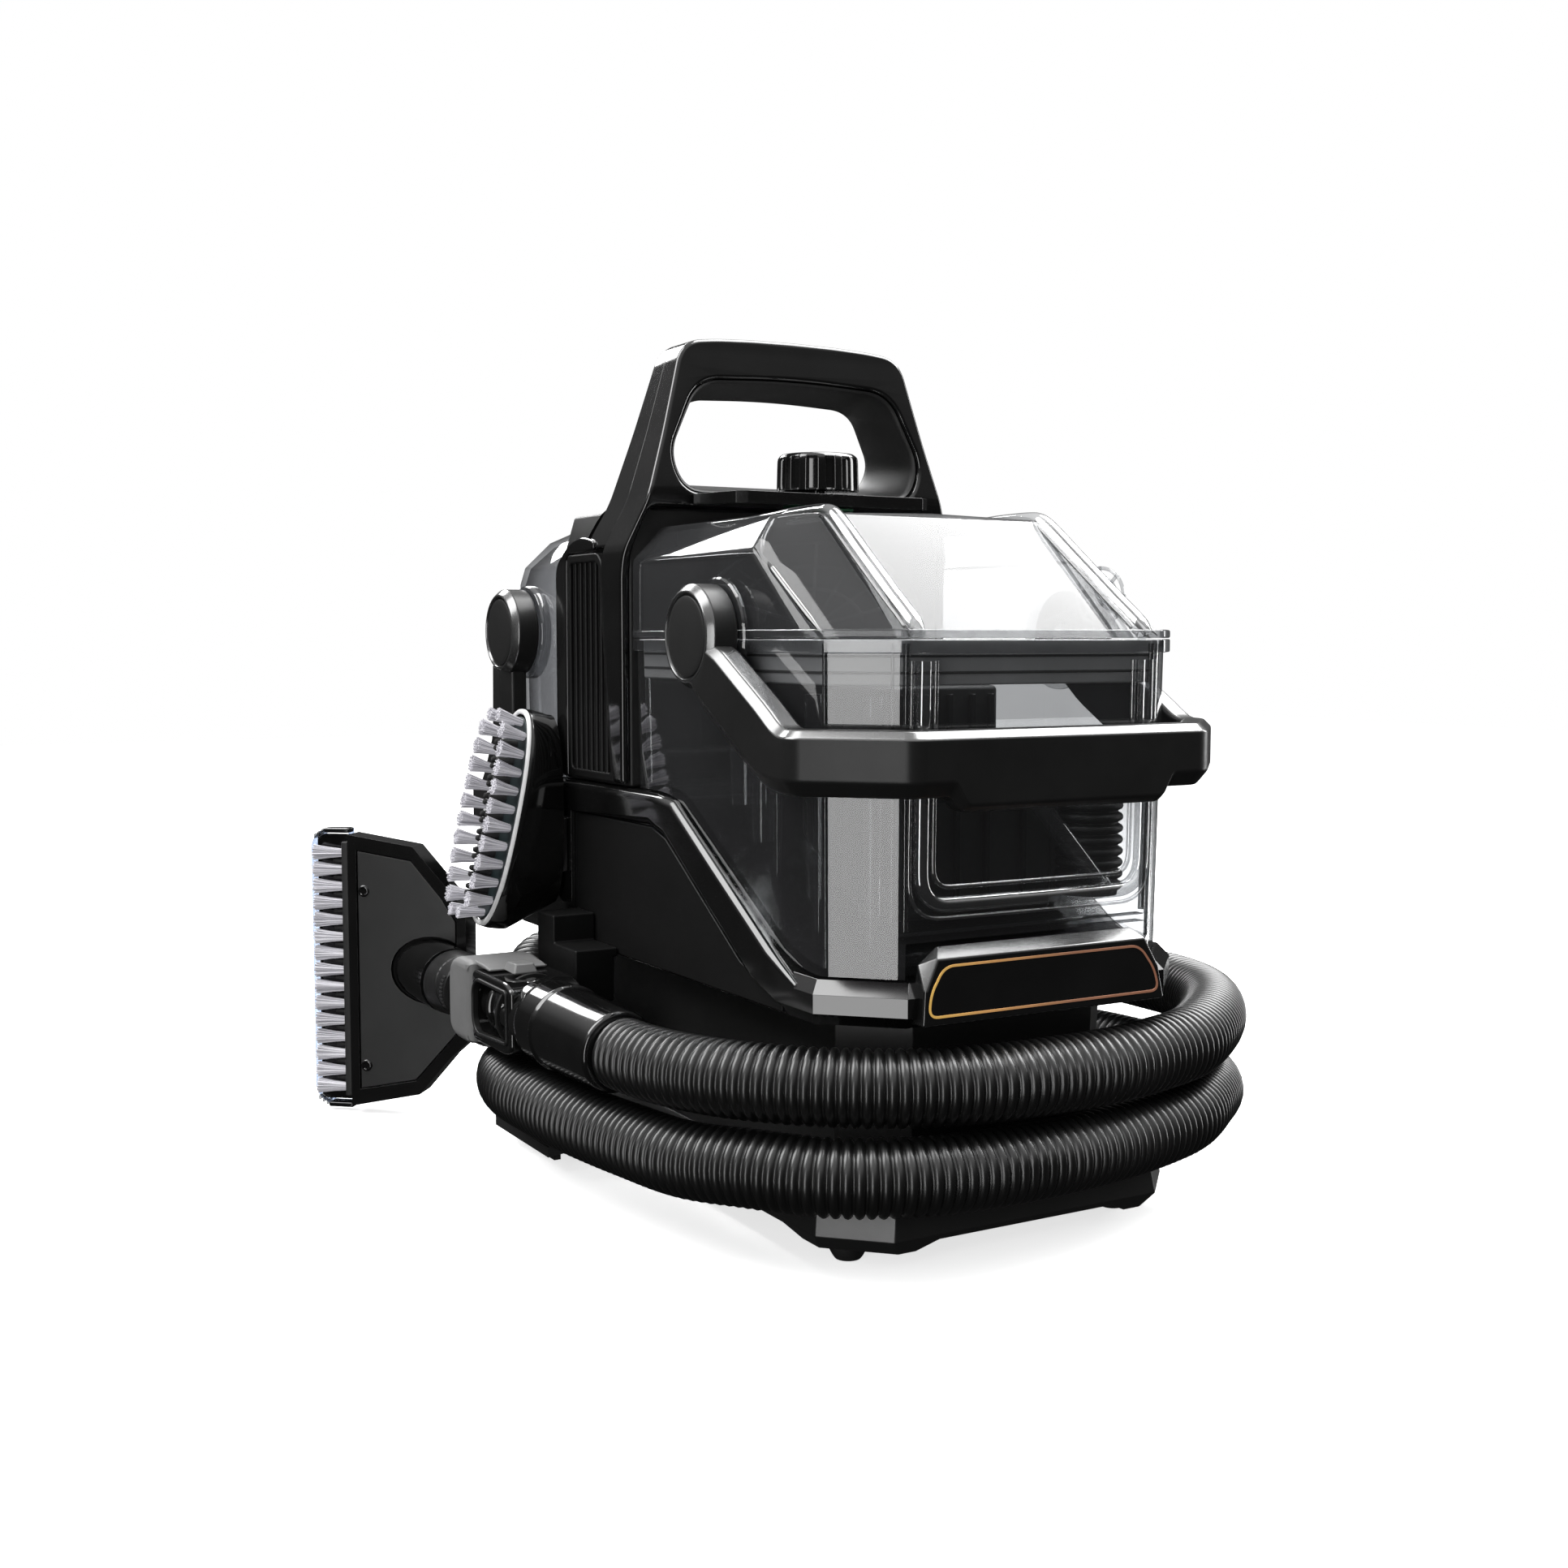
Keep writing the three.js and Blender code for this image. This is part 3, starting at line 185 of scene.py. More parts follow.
def bristle_material():
    """Nylon filaments: each strand has its own tone, and the whole brush a faint unevenness; a
    faint emission adds painted light.
    """
    shader = Shader(bpy.data.materials.new("nylon_bristle"))
    strand = shader.node("NewGeometry").outputs["Random Per Island"]
    shades = [(0.0, (0.26, 0.255, 0.285)), (0.45, (0.58, 0.57, 0.61)), (1.0, (0.90, 0.89, 0.93))]
    patches = shader.noise(scale=60, detail=1, roughness=0.5)
    color = shader.mix_color(
        0.5, shader.ramp(strand, shades), shader.ramp(patches, [(0.3, 0.8), (0.7, 1.0)]),
        blend_type="MULTIPLY")
    sheen = shader.noise(scale=900, detail=2, roughness=0.7)
    shader.surface(shader.node("BsdfPrincipled", {
        "Base Color": color, "Roughness": shader.remap(sheen, 0.35, 0.6),
        # faint emission: painted light that brightens the bristles
        "Emission Color": color, "Emission Strength": 0.16,
    }))
    return shader.owner


def foil_material():
    """Gold on the left, turning to copper on the right, with a faint emission that is painted
    glow.
    """
    shader = Shader(bpy.data.materials.new("gold_to_copper_foil"))
    x = shader.node("SeparateXYZ", {0: shader.position()}).outputs["X"]
    across = shader.remap(x, 0, 1, from_low=-0.062, from_high=0.062)
    color = shader.ramp(across, [
        (0.0, (1.0, 0.62, 0.16)), (0.22, (0.85, 0.45, 0.16)),
        (0.6, (0.42, 0.20, 0.12)), (1.0, (0.36, 0.16, 0.10)),
    ])
    sheen = shader.noise(scale=300, detail=3, roughness=0.6)
    shader.surface(shader.node("BsdfPrincipled", {
        "Base Color": color, "Metallic": 0.75, "Roughness": shader.remap(sheen, 0.28, 0.42),
        # emission: painted glow that brightens the foil
        "Emission Color": color, "Emission Strength": 0.35,
    }))
    return shader.owner


# key: slot, name, dark, light, roughness, its spread, grain, grain scale, wave, edge, specular
PLASTICS = {
    "gloss": ("gloss_black", "gloss_black_plastic",
              0.0035, 0.006, 0.10, 0.03, 0, 3500, 0.05, 0.5, 0.85),
    "matte": ("matte_black", "matte_black_plastic",
              0.006, 0.010, 0.5, 0.06, 0.35, 3500, 0, 0.8, 0.5),
    "panel": ("matte_black", "textured_black_panel",
              0.003, 0.005, 0.46, 0.05, 0.3, 3500, 0, 0.5, 0.25),
    "satin": ("satin_grey", "satin_dark_grey_plastic",
              0.012, 0.016, 0.32, 0.04, 0.16, 3500, 0, 0.5, 0.28),
    # bevel plastic: a higher gloss for polished bevels, and a lighter colour that is painted
    # highlight where bevels face the lights
    "bevel": ("satin_grey", "burnished_bevel_plastic",
              0.030, 0.040, 0.20, 0.04, 0.08, 3500, 0, 0.5, 1.6),
    "satin_disc": ("satin_grey", "satin_disc_plastic",
                   0.012, 0.016, 0.42, 0.04, 0.22, 3500, 0, 0.5, 0.5),
    "liner": ("matte_black", "soft_handle_liner",
              0.013, 0.018, 0.46, 0.05, 0.3, 3500, 0, 0.4, 0.5),
    "rubber": ("rubber_black", "black_rubber",
               0.008, 0.014, 0.62, 0.08, 0.4, 2200, 0, 0.6, 0.5),
    "hose": ("rubber_black", "hose_vinyl",
             0.0035, 0.0055, 0.33, 0.03, 0, 3500, 0, 0, 0.85),
    "base": ("matte_black", "base_housing_plastic",
             0.008, 0.012, 0.40, 0.04, 0.2, 3500, 0, 0.6, 1.0),
    "grip": ("grip_grey", "grey_soft_overmould",
             0.150, 0.178, 0.58, 0.05, 0.5, 4200, 0, 0.2, 0.5),
    "button": ("satin_grey", "release_button_plastic",
               0.16, 0.20, 0.34, 0.05, 0.2, 3500, 0, 0.3, 0.5),
    "gasket": ("grip_grey", "grey_gasket_rubber",
               0.36, 0.42, 0.5, 0.05, 0.2, 3500, 0, 0, 0.5),
    "metal": ("metal", "turned_aluminium",
              0.55, 0.66, 0.3, 0.06, 0.2, 3500, 0, 0, 0.5),
    "white": ("white_plastic", "white_nylon",
              0.6, 0.68, 0.45, 0.05, 0.2, 3500, 0, 0, 0.5),
    "board": ("board", "green_circuit_board",
              (0.01, 0.07, 0.03), (0.016, 0.1, 0.04), 0.35, 0.05, 0.2, 3500, 0, 0, 0.5),
    "teal": ("matte_black", "brush_face_plastic",
             (0.010, 0.017, 0.018), (0.014, 0.022, 0.024), 0.4, 0.06, 0.25, 3500, 0, 0.4, 0.5),
    # light grey rim: painted highlight round the oval tool's face
    "rim": ("satin_grey", "polished_rim_plastic",
            0.62, 0.70, 0.24, 0.05, 0.1, 3500, 0, 0.3, 0.5),
    "nozzle_face": ("satin_grey", "tool_plate_plastic",
                    0.010, 0.014, 0.33, 0.05, 0.25, 3500, 0, 0.6, 0.5),
}
# key: name, tint, edge tint, roughness, index of refraction, haze
CLEARS = {
    "clear": ("clear_smoke_plastic",
              (0.86, 0.865, 0.87), (0.16, 0.165, 0.17), 0.03, 1.7, 0.018),
    "clear_lid": ("clear_lid_plastic",
                  (0.81, 0.815, 0.82), (0.12, 0.125, 0.13), 0.03, 1.42, 0.03),
    "clear_rib": ("clear_rib_plastic",
                  (0.80, 0.805, 0.81), (0.03, 0.032, 0.035), 0.03, 2.9, 0.03),
    "clear_rear": ("clear_rear_plastic",
                   (0.72, 0.725, 0.735), (0.12, 0.125, 0.13), 0.03, 1.7, 0.018),
    "clear_blue": ("clear_nozzle_plastic",
                   (0.52, 0.57, 0.66), (0.10, 0.12, 0.18), 0.03, 1.7, 0.03),
    # less reflective clear for the tub's level lower faces; its darker tint is painted shade
    "clear_dull_shaded": ("clear_floor_shaded_plastic",
                   (0.62, 0.625, 0.63), (0.10, 0.105, 0.11), 0.09, 1.14, 0.01),
    # dark clear for thin lines; on the tank and lid edges it is painted shade for dark refraction
    # lines
    "clear_line": ("clear_dark_line_plastic",
                   (0.40, 0.405, 0.41), (0.02, 0.02, 0.022), 0.03, 1.9, 0.01),
}
# key: (material, the slot its pieces normally take)
MATERIALS = {key: (plastic(*row), slot) for key, (slot, *row) in PLASTICS.items()}
MATERIALS.update({key: (clear_plastic(*row), "clear_smoke") for key, row in CLEARS.items()})
MATERIALS["bristle"] = bristle_material(), "bristle_grey"
MATERIALS["foil"] = foil_material(), "gloss_black"


# ---------------------------------------------------------------- outlines
def rect(x0, x1, y0, y1):
    return [(x0, y0), (x1, y0), (x1, y1), (x0, y1)]


def octagon(half_x, front, rear, front_cut, rear_cut):
    """Rectangle with cut corners."""
    return [
        (-half_x + front_cut, front), (half_x - front_cut, front), (half_x, front + front_cut),
        (half_x, rear - rear_cut), (half_x - rear_cut, rear), (-half_x + rear_cut, rear),
        (-half_x, rear - rear_cut), (-half_x, front + front_cut),
    ]


def symmetric(right):
    """Closes a right-hand outline with its mirror image; the first point lies on the middle."""
    return right + [(-x, z) for x, z in reversed(right[1:])]


def rounded(points, radius, steps):
    """Eases each corner; radius is one number or one per corner."""
    out = []
    count = len(points)
    for i in range(count):
        r = radius[i] if isinstance(radius, (list, tuple)) else radius
        before, corner, after = (Vector(points[(i + k) % count]) for k in (-1, 0, 1))
        back, ahead = before - corner, after - corner
        cut = min(r, back.length * 0.49, ahead.length * 0.49)
        if cut <= 0:
            out.append(tuple(corner))
            continue
        start = corner + back.normalized() * cut
        end = corner + ahead.normalized() * cut
        for j in range(steps + 1):
            t = j / steps
            out.append(tuple(start * (1 - t) ** 2 + corner * 2 * t * (1 - t) + end * t * t))
    return out


def inset(points, distance):
    """Offsets a closed outline inwards, mitred."""
    corners = [Vector((p[0], p[1])) for p in points]
    count = len(corners)
    area = 0
    for a, b in zip(corners, corners[1:] + corners[:1]):
        area += a.x * b.y - b.x * a.y
    turn = 1 if area > 0 else -1
    out = []
    for i in range(count):
        edge_in = (corners[i] - corners[i - 1]).normalized()
        edge_out = (corners[(i + 1) % count] - corners[i]).normalized()
        normal_in = Vector((-edge_in.y, edge_in.x)) * turn
        normal_out = Vector((-edge_out.y, edge_out.x)) * turn
        miter = (normal_in + normal_out) / max(1 + normal_in.dot(normal_out), 0.35)
        moved = corners[i] + miter * distance
        out.append((moved.x, moved.y))
    return out


def tidy(points, gap=0.02):
    """Drops points that all but coincide with the one before."""
    out = []
    for p in points:
        if not out or (Vector(p) - Vector(out[-1])).length > gap:
            out.append(tuple(p))
    if (Vector(out[0]) - Vector(out[-1])).length <= gap:
        out.pop()
    return out


def spline(points):
    """Centripetal Catmull-Rom curve: dense points, and the length up to each."""
    knots = [Vector(p) for p in points]
    extended = [knots[0] * 2 - knots[1]] + knots + [knots[-1] * 2 - knots[-2]]
    dense = []
    for i in range(len(knots) - 1):
        p0, p1, p2, p3 = extended[i : i + 4]
        g0, g1, g2 = [max((b - a).length ** 0.5, 1e-4) for a, b in ((p0, p1), (p1, p2), (p2, p3))]
        t1 = ((p1 - p0) / g0 - (p2 - p0) / (g0 + g1) + (p2 - p1) / g1) * g1
        t2 = ((p2 - p1) / g1 - (p3 - p1) / (g1 + g2) + (p3 - p2) / g2) * g1
        square, cube = -3 * p1 + 3 * p2 - 2 * t1 - t2, 2 * p1 - 2 * p2 + t1 + t2
        for k in range(40):
            t = k / 40
            dense.append(p1 + t1 * t + square * t * t + cube * t ** 3)
    dense.append(knots[-1])
    lengths = [0.0]
    for a, b in zip(dense, dense[1:]):
        lengths.append(lengths[-1] + (b - a).length)
    return dense, lengths


def curve(points, steps):
    """The spline through the points, sampled evenly by length."""
    dense, lengths = spline(points)
    out, j = [], 0
    for i in range(steps + 1):
        want = lengths[-1] * i / steps
        while j < len(lengths) - 2 and lengths[j + 1] < want:
            j += 1
        f = (want - lengths[j]) / max(lengths[j + 1] - lengths[j], 1e-9)
        out.append(dense[j].lerp(dense[j + 1], min(max(f, 0), 1)))
    return out


# ---------------------------------------------------------------- solids
def obj_from_bm(bm, name="tmp"):
    bmesh.ops.recalc_face_normals(bm, faces=bm.faces[:])
    mesh = bpy.data.meshes.new(name)
    bm.to_mesh(mesh)
    bm.free()
    return obj_from_mesh(mesh, name)


def obj_from_mesh(mesh, name="tmp"):
    obj = bpy.data.objects.new(name, mesh)
    scene.collection.objects.link(obj)
    return obj


@contextmanager
def editing(obj):
    bm = bmesh.new()
    bm.from_mesh(obj.data)
    yield bm
    bm.to_mesh(obj.data)
    bm.free()


def mesh_from(verts, faces, name="tmp"):
    bm = bmesh.new()
    made = [bm.verts.new(v) for v in verts]
    for face in faces:
        bm.faces.new([made[i] for i in face])
    return obj_from_bm(bm, name)


def place(point, axis, along):
    """Outline point to space. Axis x: points are (y, z), axis y: (x, z), axis z: (x, y)."""
    a, b = point
    return {"x": (along, a, b), "y": (a, along, b), "z": (a, b, along)}[axis]


def loft(rings, closed=False):
    """Skins rings of equal count; an open loft is capped, a closed one runs back to its start."""
    n, m = len(rings[0]), len(rings)
    faces = []
    for k in range(m if closed else m - 1):
        after = (k + 1) % m
        for i in range(n):
            j = (i + 1) % n
            faces.append([k * n + i, k * n + j, after * n + j, after * n + i])
    if not closed:
        faces.append(list(range(n))[::-1])
        faces.append(list(range((m - 1) * n, m * n)))
    return mesh_from([v for ring in rings for v in ring], faces)


def prism(outline, axis, low, high):
    n = len(outline)
    verts = [place(p, axis, low) for p in outline] + [place(p, axis, high) for p in outline]
    faces = [list(range(n))[::-1], list(range(n, 2 * n))]
    faces += [[i, (i + 1) % n, n + (i + 1) % n, n + i] for i in range(n)]
    return mesh_from(verts, faces)


def block(x0, x1, y0, y1, z0, z1):
    return prism(rect(x0, x1, y0, y1), "z", z0, z1)


def axes_of(direction):
    along = Vector(direction).normalized()
    up = Vector((0, 0, 1)) if abs(along.z) < 0.9 else Vector((1, 0, 0))
    across = along.cross(up).normalized()
    return along, across, along.cross(across).normalized()


def lathe(origin, direction, profile, seg, wobble=None):
    """Profile points are (distance along the axis, radius); radius 0 closes on the axis.
    wobble(angle, distance, radius) may change the radius."""
    origin = Vector(origin)
    along, across, third = axes_of(direction)
    bm = bmesh.new()
    rings = []
    for t, r in profile:
        if r <= 1e-6:
            rings.append([bm.verts.new(origin + along * t)])
            continue
        ring = []
        for i in range(seg):
            w = 2 * math.pi * i / seg
            k = wobble(w, t, r) if wobble else r
            spoke = across * math.cos(w) + third * math.sin(w)
            ring.append(bm.verts.new(origin + along * t + spoke * k))
        rings.append(ring)
    for p, q in zip(rings, rings[1:]):
        for i in range(seg):
            j = (i + 1) % seg
            if len(p) == 1:
                bm.faces.new([p[0], q[j], q[i]])
            elif len(q) == 1:
                bm.faces.new([p[i], p[j], q[0]])
            else:
                bm.faces.new([p[i], p[j], q[j], q[i]])
    return obj_from_bm(bm)


def rod(start, end, radius, seg, end_radius=None):
    start, end = Vector(start), Vector(end)
    last = radius if end_radius is None else end_radius
    length = (end - start).length
    return lathe(start, end - start, [(0, 0), (0, radius), (length, last), (length, 0)], seg)


def sweep(path, radius, seg):
    """A capped tube along a path; radius is one number or one per point."""
    n = len(path)
    radii = radius if isinstance(radius, list) else [radius] * n
    normal = Vector((0, 0, 1))
    rings = []
    for i, p in enumerate(path):
        tangent = (path[min(i + 1, n - 1)] - path[max(i - 1, 0)]).normalized()
        normal = (normal - tangent * normal.dot(tangent)).normalized()
        side = tangent.cross(normal)
        angles = [2 * math.pi * k / seg for k in range(seg)]
        rings.append([p + (normal * math.cos(w) + side * math.sin(w)) * radii[i] for w in angles])
    return loft(rings)


def tube(points, steps, radius, seg):
    return sweep(curve(points, steps), radius, seg)


def slab(outline, axis, low, high, rim=1.0, high_rim=None, holes=(), steps=4):
    """A plate between low and high whose outline and holes have rounded rims at both faces."""
    high_rim = rim if high_rim is None else high_rim
    levels = []
    for k in range(steps + 1):
        turn = k / steps * math.pi / 2
        levels.append((rim * (1 - math.sin(turn)), low + rim * (1 - math.cos(turn))))
    for k in range(steps, -1, -1):
        turn = k / steps * math.pi / 2
        levels.append((high_rim * (1 - math.sin(turn)), high - high_rim * (1 - math.cos(turn))))
    bm = bmesh.new()
    caps = []
    for loop, sign in [(tidy(outline), 1)] + [(tidy(hole), -1) for hole in holes]:
        rings = []
        for d, t in levels:
            ring = inset(loop, d * sign) if d > 1e-6 else loop
            rings.append([bm.verts.new(place(p, axis, t)) for p in ring])
        for p, q in zip(rings, rings[1:]):
            for i in range(len(loop)):
                j = (i + 1) % len(loop)
                bm.faces.new([p[i], p[j], q[j], q[i]])
        caps.append((rings[0], rings[-1]))
    a, b = {"x": (1, 2), "y": (0, 2), "z": (0, 1)}[axis]
    for side in (0, 1):
        loops = [cap[side] for cap in caps]
        flat = [v for loop in loops for v in loop]
        flattened = [[Vector((v.co[a], v.co[b], 0)) for v in loop] for loop in loops]
        for triangle in tessellate_polygon(flattened):
            try:
                bm.faces.new([flat[i] for i in triangle])
            except ValueError:
                # the tessellation may give a degenerate or repeated triangle
                pass
    return obj_from_bm(bm)


def round_hull(points, radius, res):
    """Convex solid through the given corners with every edge rounded to the radius."""
    points = [Vector(p) for p in points]
    bm = bmesh.new()
    for p in points:
        bm.verts.new(p)
    bmesh.ops.convex_hull(bm, input=bm.verts[:])
    middle = sum(points, Vector()) / len(points)
    cores = []
    for v in bm.verts:
        if not v.link_faces:
            continue
        normals = []
        for face in v.link_faces:
            face.normal_update()
            normal = face.normal.copy()
            center = face.calc_center_median()
            if normal.dot(v.co - middle) < 0 and normal.dot(center - middle) < 0:
                normal = -normal
            if all(normal.dot(other) < 0.9995 for other in normals):
                normals.append(normal)
        # the ball centre that lies one radius behind every face at this corner
        rows = np.array([list(normal) for normal in normals])
        solved, *_ = np.linalg.lstsq(rows, -radius * np.ones(len(normals)), rcond=0.05)
        shift = Vector(solved)
        if shift.length > 2.2 * radius:
            shift = shift.normalized() * 2.2 * radius
        cores.append(v.co + shift)
    bm.free()
    ball = []
    for i in range(-res, res + 1):
        lat = i / res * math.pi / 2
        count = 1 if abs(i) == res else 4 * res
        for j in range(count):
            lon = 2 * math.pi * j / (4 * res)
            x, y = math.cos(lat) * math.cos(lon), math.cos(lat) * math.sin(lon)
            ball.append(Vector((x, y, math.sin(lat))) * radius)
    bm = bmesh.new()
    for core in cores:
        for q in ball:
            bm.verts.new(core + q)
    bmesh.ops.convex_hull(bm, input=bm.verts[:])
    loose = [v for v in bm.verts if not v.link_faces]
    bmesh.ops.delete(bm, geom=loose, context="VERTS")
    bmesh.ops.remove_doubles(bm, verts=bm.verts[:], dist=0.004)
    return obj_from_bm(bm)


def baked(obj):
    """Applies the object's modifiers."""
    depsgraph = bpy.context.evaluated_depsgraph_get()
    mesh = bpy.data.meshes.new_from_object(obj.evaluated_get(depsgraph))
    old = obj.data
    obj.modifiers.clear()
    obj.data = mesh
    bpy.data.meshes.remove(old)
    return obj


def boolean(obj, *tools, operation="DIFFERENCE"):
    for tool in tools:
        modifier = obj.modifiers.new("b", "BOOLEAN")
        modifier.operation = operation
        modifier.solver = "EXACT"
        modifier.object = tool
        bpy.context.view_layer.update()
        baked(obj)
        bpy.data.objects.remove(tool)
    return obj


def bevel(obj, width, seg, angle=30):
    modifier = obj.modifiers.new("v", "BEVEL")
    modifier.width = width
    modifier.segments = seg
    modifier.limit_method = "ANGLE"
    modifier.angle_limit = math.radians(angle)
    modifier.use_clamp_overlap = True
    modifier.loop_slide = True
    return baked(obj)


def joined(*parts):
    bm = bmesh.new()
    for part in parts:
        bm.from_mesh(part.data)
    for part in parts:
        bpy.data.objects.remove(part)
    mesh = bpy.data.meshes.new("tmp")
    bm.to_mesh(mesh)
    bm.free()
    return obj_from_mesh(mesh)


# ---------------------------------------------------------------- finished pieces
def piece(obj, name, material, body, replaces=None, slot=None, sharp=40, weighted=True):
    """Scales a working mesh to metres, gives it its material and lets it ride on its body."""
    material, usual_slot = MATERIALS[material]
    obj.data.transform(Matrix.Scale(MM, 4))
    obj.name = name
    obj.data.name = name
    obj.data.materials.clear()
    obj.data.materials.append(material)
    for polygon in obj.data.polygons:
        polygon.use_smooth = True
        polygon.material_index = 0
    obj.data.set_sharp_from_angle(angle=math.radians(sharp))
    if weighted:
        modifier = obj.modifiers.new("w", "WEIGHTED_NORMAL")
        modifier.keep_sharp = True
        modifier.weight = 60
    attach(obj, body)
    if replaces:
        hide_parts(replaces)
    slot or usual_slot
    return obj


def skin(obj, node, material, body, **options):
    """A piece that stands in for one CAD node."""
    return piece(obj, node + "_skin", material, body, replaces=node, **options)


def second_material(obj, material, test):
    """Gives the faces whose (normal, centre in mm) pass the test another material."""
    obj.data.materials.append(MATERIALS[material][0])
    for polygon in obj.data.polygons:
        if test(polygon.normal, polygon.center * 1000):
            polygon.material_index = 1


def cad(node):
    """A working copy of a CAD node in mm, welded, with its flat faces whole."""
    weld = 1e-3
    obj = obj_from_mesh(frame["nodes"][node].data.copy())
    obj.data.transform(Matrix.Scale(1000, 4))
    with editing(obj) as bm:
        bmesh.ops.remove_doubles(bm, verts=bm.verts[:], dist=weld)
        bmesh.ops.dissolve_limit(bm, angle_limit=math.radians(0.4), verts=bm.verts[:],
                                 edges=bm.edges[:], use_dissolve_boundaries=False)
        bmesh.ops.dissolve_degenerate(bm, dist=weld, edges=bm.edges[:])
    return obj


def refined(node, material, body, width, seg, angle=30, slot=None):
    """A CAD node with its edges bevelled."""
    return skin(bevel(cad(node), width, seg, angle), node, material, body, slot=slot)


def span(sign, near, far):
    """A range of x on one side, in rising order."""
    return sorted((sign * near, sign * far))


# ---------------------------------------------------------------- base and body shell
FOOT_X, FOOT_Y = 72, 157
BADGE_Y, BADGE_Z = -200.2, 105.6    # lower front edge of the badge
BADGE_SLOPE = 0.1222


def feet():
    profile = [
        (0, 0), (0, 3.2), (0.7, 3.6), (0.7, 4.2), (0, 4.7), (0.3, 5.6), (1.6, 6.6), (4.2, 8.0),
        (7, 8.9), (11.4, 9.3), (12, 8.8), (12, 3.1), (14, 2.8), (14, 0),
    ]
    for end, y in (("front", -FOOT_Y), ("rear", FOOT_Y)):
        for side, sign in SIDES:
            foot = lathe((sign * FOOT_X, y, 0), UP, profile, 48)
            skin(foot, f"foot_pad_{end}_{side}", "rubber", "machine")


def body_shell():
    shell = cad("body_shell")

    def top_side(edge):
        a, b = edge.verts
        on_top = all(abs(abs(v.co.x) - 95.5) < 0.2 and v.co.z > 118.5 for v in (a, b))
        return on_top and not abs(a.co.y - b.co.y) < 0.5

    # wide soft rounding where the belt's top turns over the side wall
    with editing(shell) as bm:
        edges = [
            e for e in bm.edges
            if len(e.link_faces) == 2 and e.calc_face_angle(0) > math.radians(12) and top_side(e)
        ]
        bmesh.ops.bevel(bm, geom=edges, offset=4.2, segments=5, profile=0.5,
                        affect="EDGES", clamp_overlap=False)
        bmesh.ops.recalc_face_normals(bm, faces=bm.faces[:])
    skin(bevel(shell, 1.0, 3, 32), "body_shell", "gloss", "machine")


def badge_plate():
    half = [(63.6, BADGE_Y, BADGE_Z), (61.6, -198.6, 119), (54.6, -196.9, 132.6),
            (49.5, -189.6, 137.7), (60, -189.6, 130), (63.6, -189.6, BADGE_Z)]
    plate = round_hull([(sign * x, y, z) for sign in (-1, 1) for x, y, z in half], 1.3, 3)
    skin(plate, "badge_plate", "gloss", "front_tank")
    # the badge's top bevel gets the bevel plastic: its lighter colour is painted highlight
    second_material(plate, "bevel", lambda n, c: n.z > 0.22 and c.z > 118)


def badge_outline():
    """A thin foil ridge that follows the badge's sloping face."""
    corners = [(-60.5, 109.4), (60.5, 109.4), (58.6, 119), (51.4, 129.4), (-51.4, 129.4),
               (-58.6, 119)]
    points = rounded(corners, [5, 5, 4, 5, 5, 4], 8)
    n = len(points)
    rings = []
    for offset, depth in ((-0.62, 0.25), (-0.45, -0.28), (0.45, -0.28), (0.62, 0.25)):
        ring = []
        for i in range(n):
            before, here, after = (Vector(points[(i + k) % n]) for k in (-1, 0, 1))
            tangent = (after - before).normalized()
            moved = here + Vector((tangent.y, -tangent.x)) * offset
            y = BADGE_Y + (moved.y - BADGE_Z) * BADGE_SLOPE - 0.02
            ring.append((moved.x, y + depth, moved.y))
        rings.append(ring)
    piece(loft(rings, closed=True), "badge_outline", "foil", "front_tank", weighted=False)


def power_cord():
    """Three turns of cord round the rear hook, then a loose end."""
    points = []
    for i in range(43):
        angle = (i / 14) * 2 * math.pi - math.pi / 2
        c, s = math.cos(angle), math.sin(angle)
        x = math.copysign(min(22, 24 * abs(c) ** 0.8), c)
        points.append((x, 195.3 + (i / 42) * 14.6, 125 + 15 * s))
    points += [(16, 209.9, 107.5), (34, 209, 104), (52, 206, 108)]
    skin(tube(points, 340, 2.7, 14), "power_cord", "rubber", "machine")


refined("lower_housing", "base", "machine", 1.8, 4)
refined("base_pan", "matte", "machine", 0.5, 2)
feet()
body_shell()
refined("side_panel_left", "panel", "machine", 0.6, 2)
refined("side_panel_right", "panel", "machine", 0.6, 2)
badge_plate()
badge_outline()
refined("cord_hook", "gloss", "machine", 2.0, 3)
power_cord()


# ---------------------------------------------------------------- centre housing and grilles
def grille(side, sign):
    """Rounded frame with seven upright slats; the foremost is cut short by the sloping edge."""
    outer = rounded([(26.4, 190.5), (84, 190.5), (84, 305), (46, 305), (40.4, 300)],
                    [2, 3, 4, 4, 4], 4)
    inner = rounded([(31.5, 195), (80, 195), (80, 300.5), (47.5, 300.5), (44.2, 298)],
                    [2, 3, 3, 3, 3], 4)
    parts = [slab(outer, "x", *span(sign, 90.6, 95.0), 0.9, holes=[inner])]
    half_width = 1.7
    for i in range(7):
        y = 76.4 - 6.3 * i
        top = min(300.8, 195 + (y - 31.5) * (298 - 195) / (44.2 - 31.5))
        slat = rounded(rect(y - half_width, y + half_width, 194, top + 0.6), 0.6, 3)
        parts.append(slab(slat, "x", *span(sign, 91.0, 94.4), 1.2))
    skin(joined(*parts), "grille_" + side, "panel", "machine")


refined("center_housing", "matte", "machine", 1.5, 3)
for side, sign in SIDES:
    grille(side, sign)

# ---------------------------------------------------------------- handle
# (z, y) of the handle's front and rear faces
HANDLE_FRONT = [(190, 15.4), (296, 15.4), (316, 9), (330, 3.2), (409, 12)]
HANDLE_REAR = [(190, 35.6), (300, 63.6), (312, 62), (328, 51), (409, 38)]
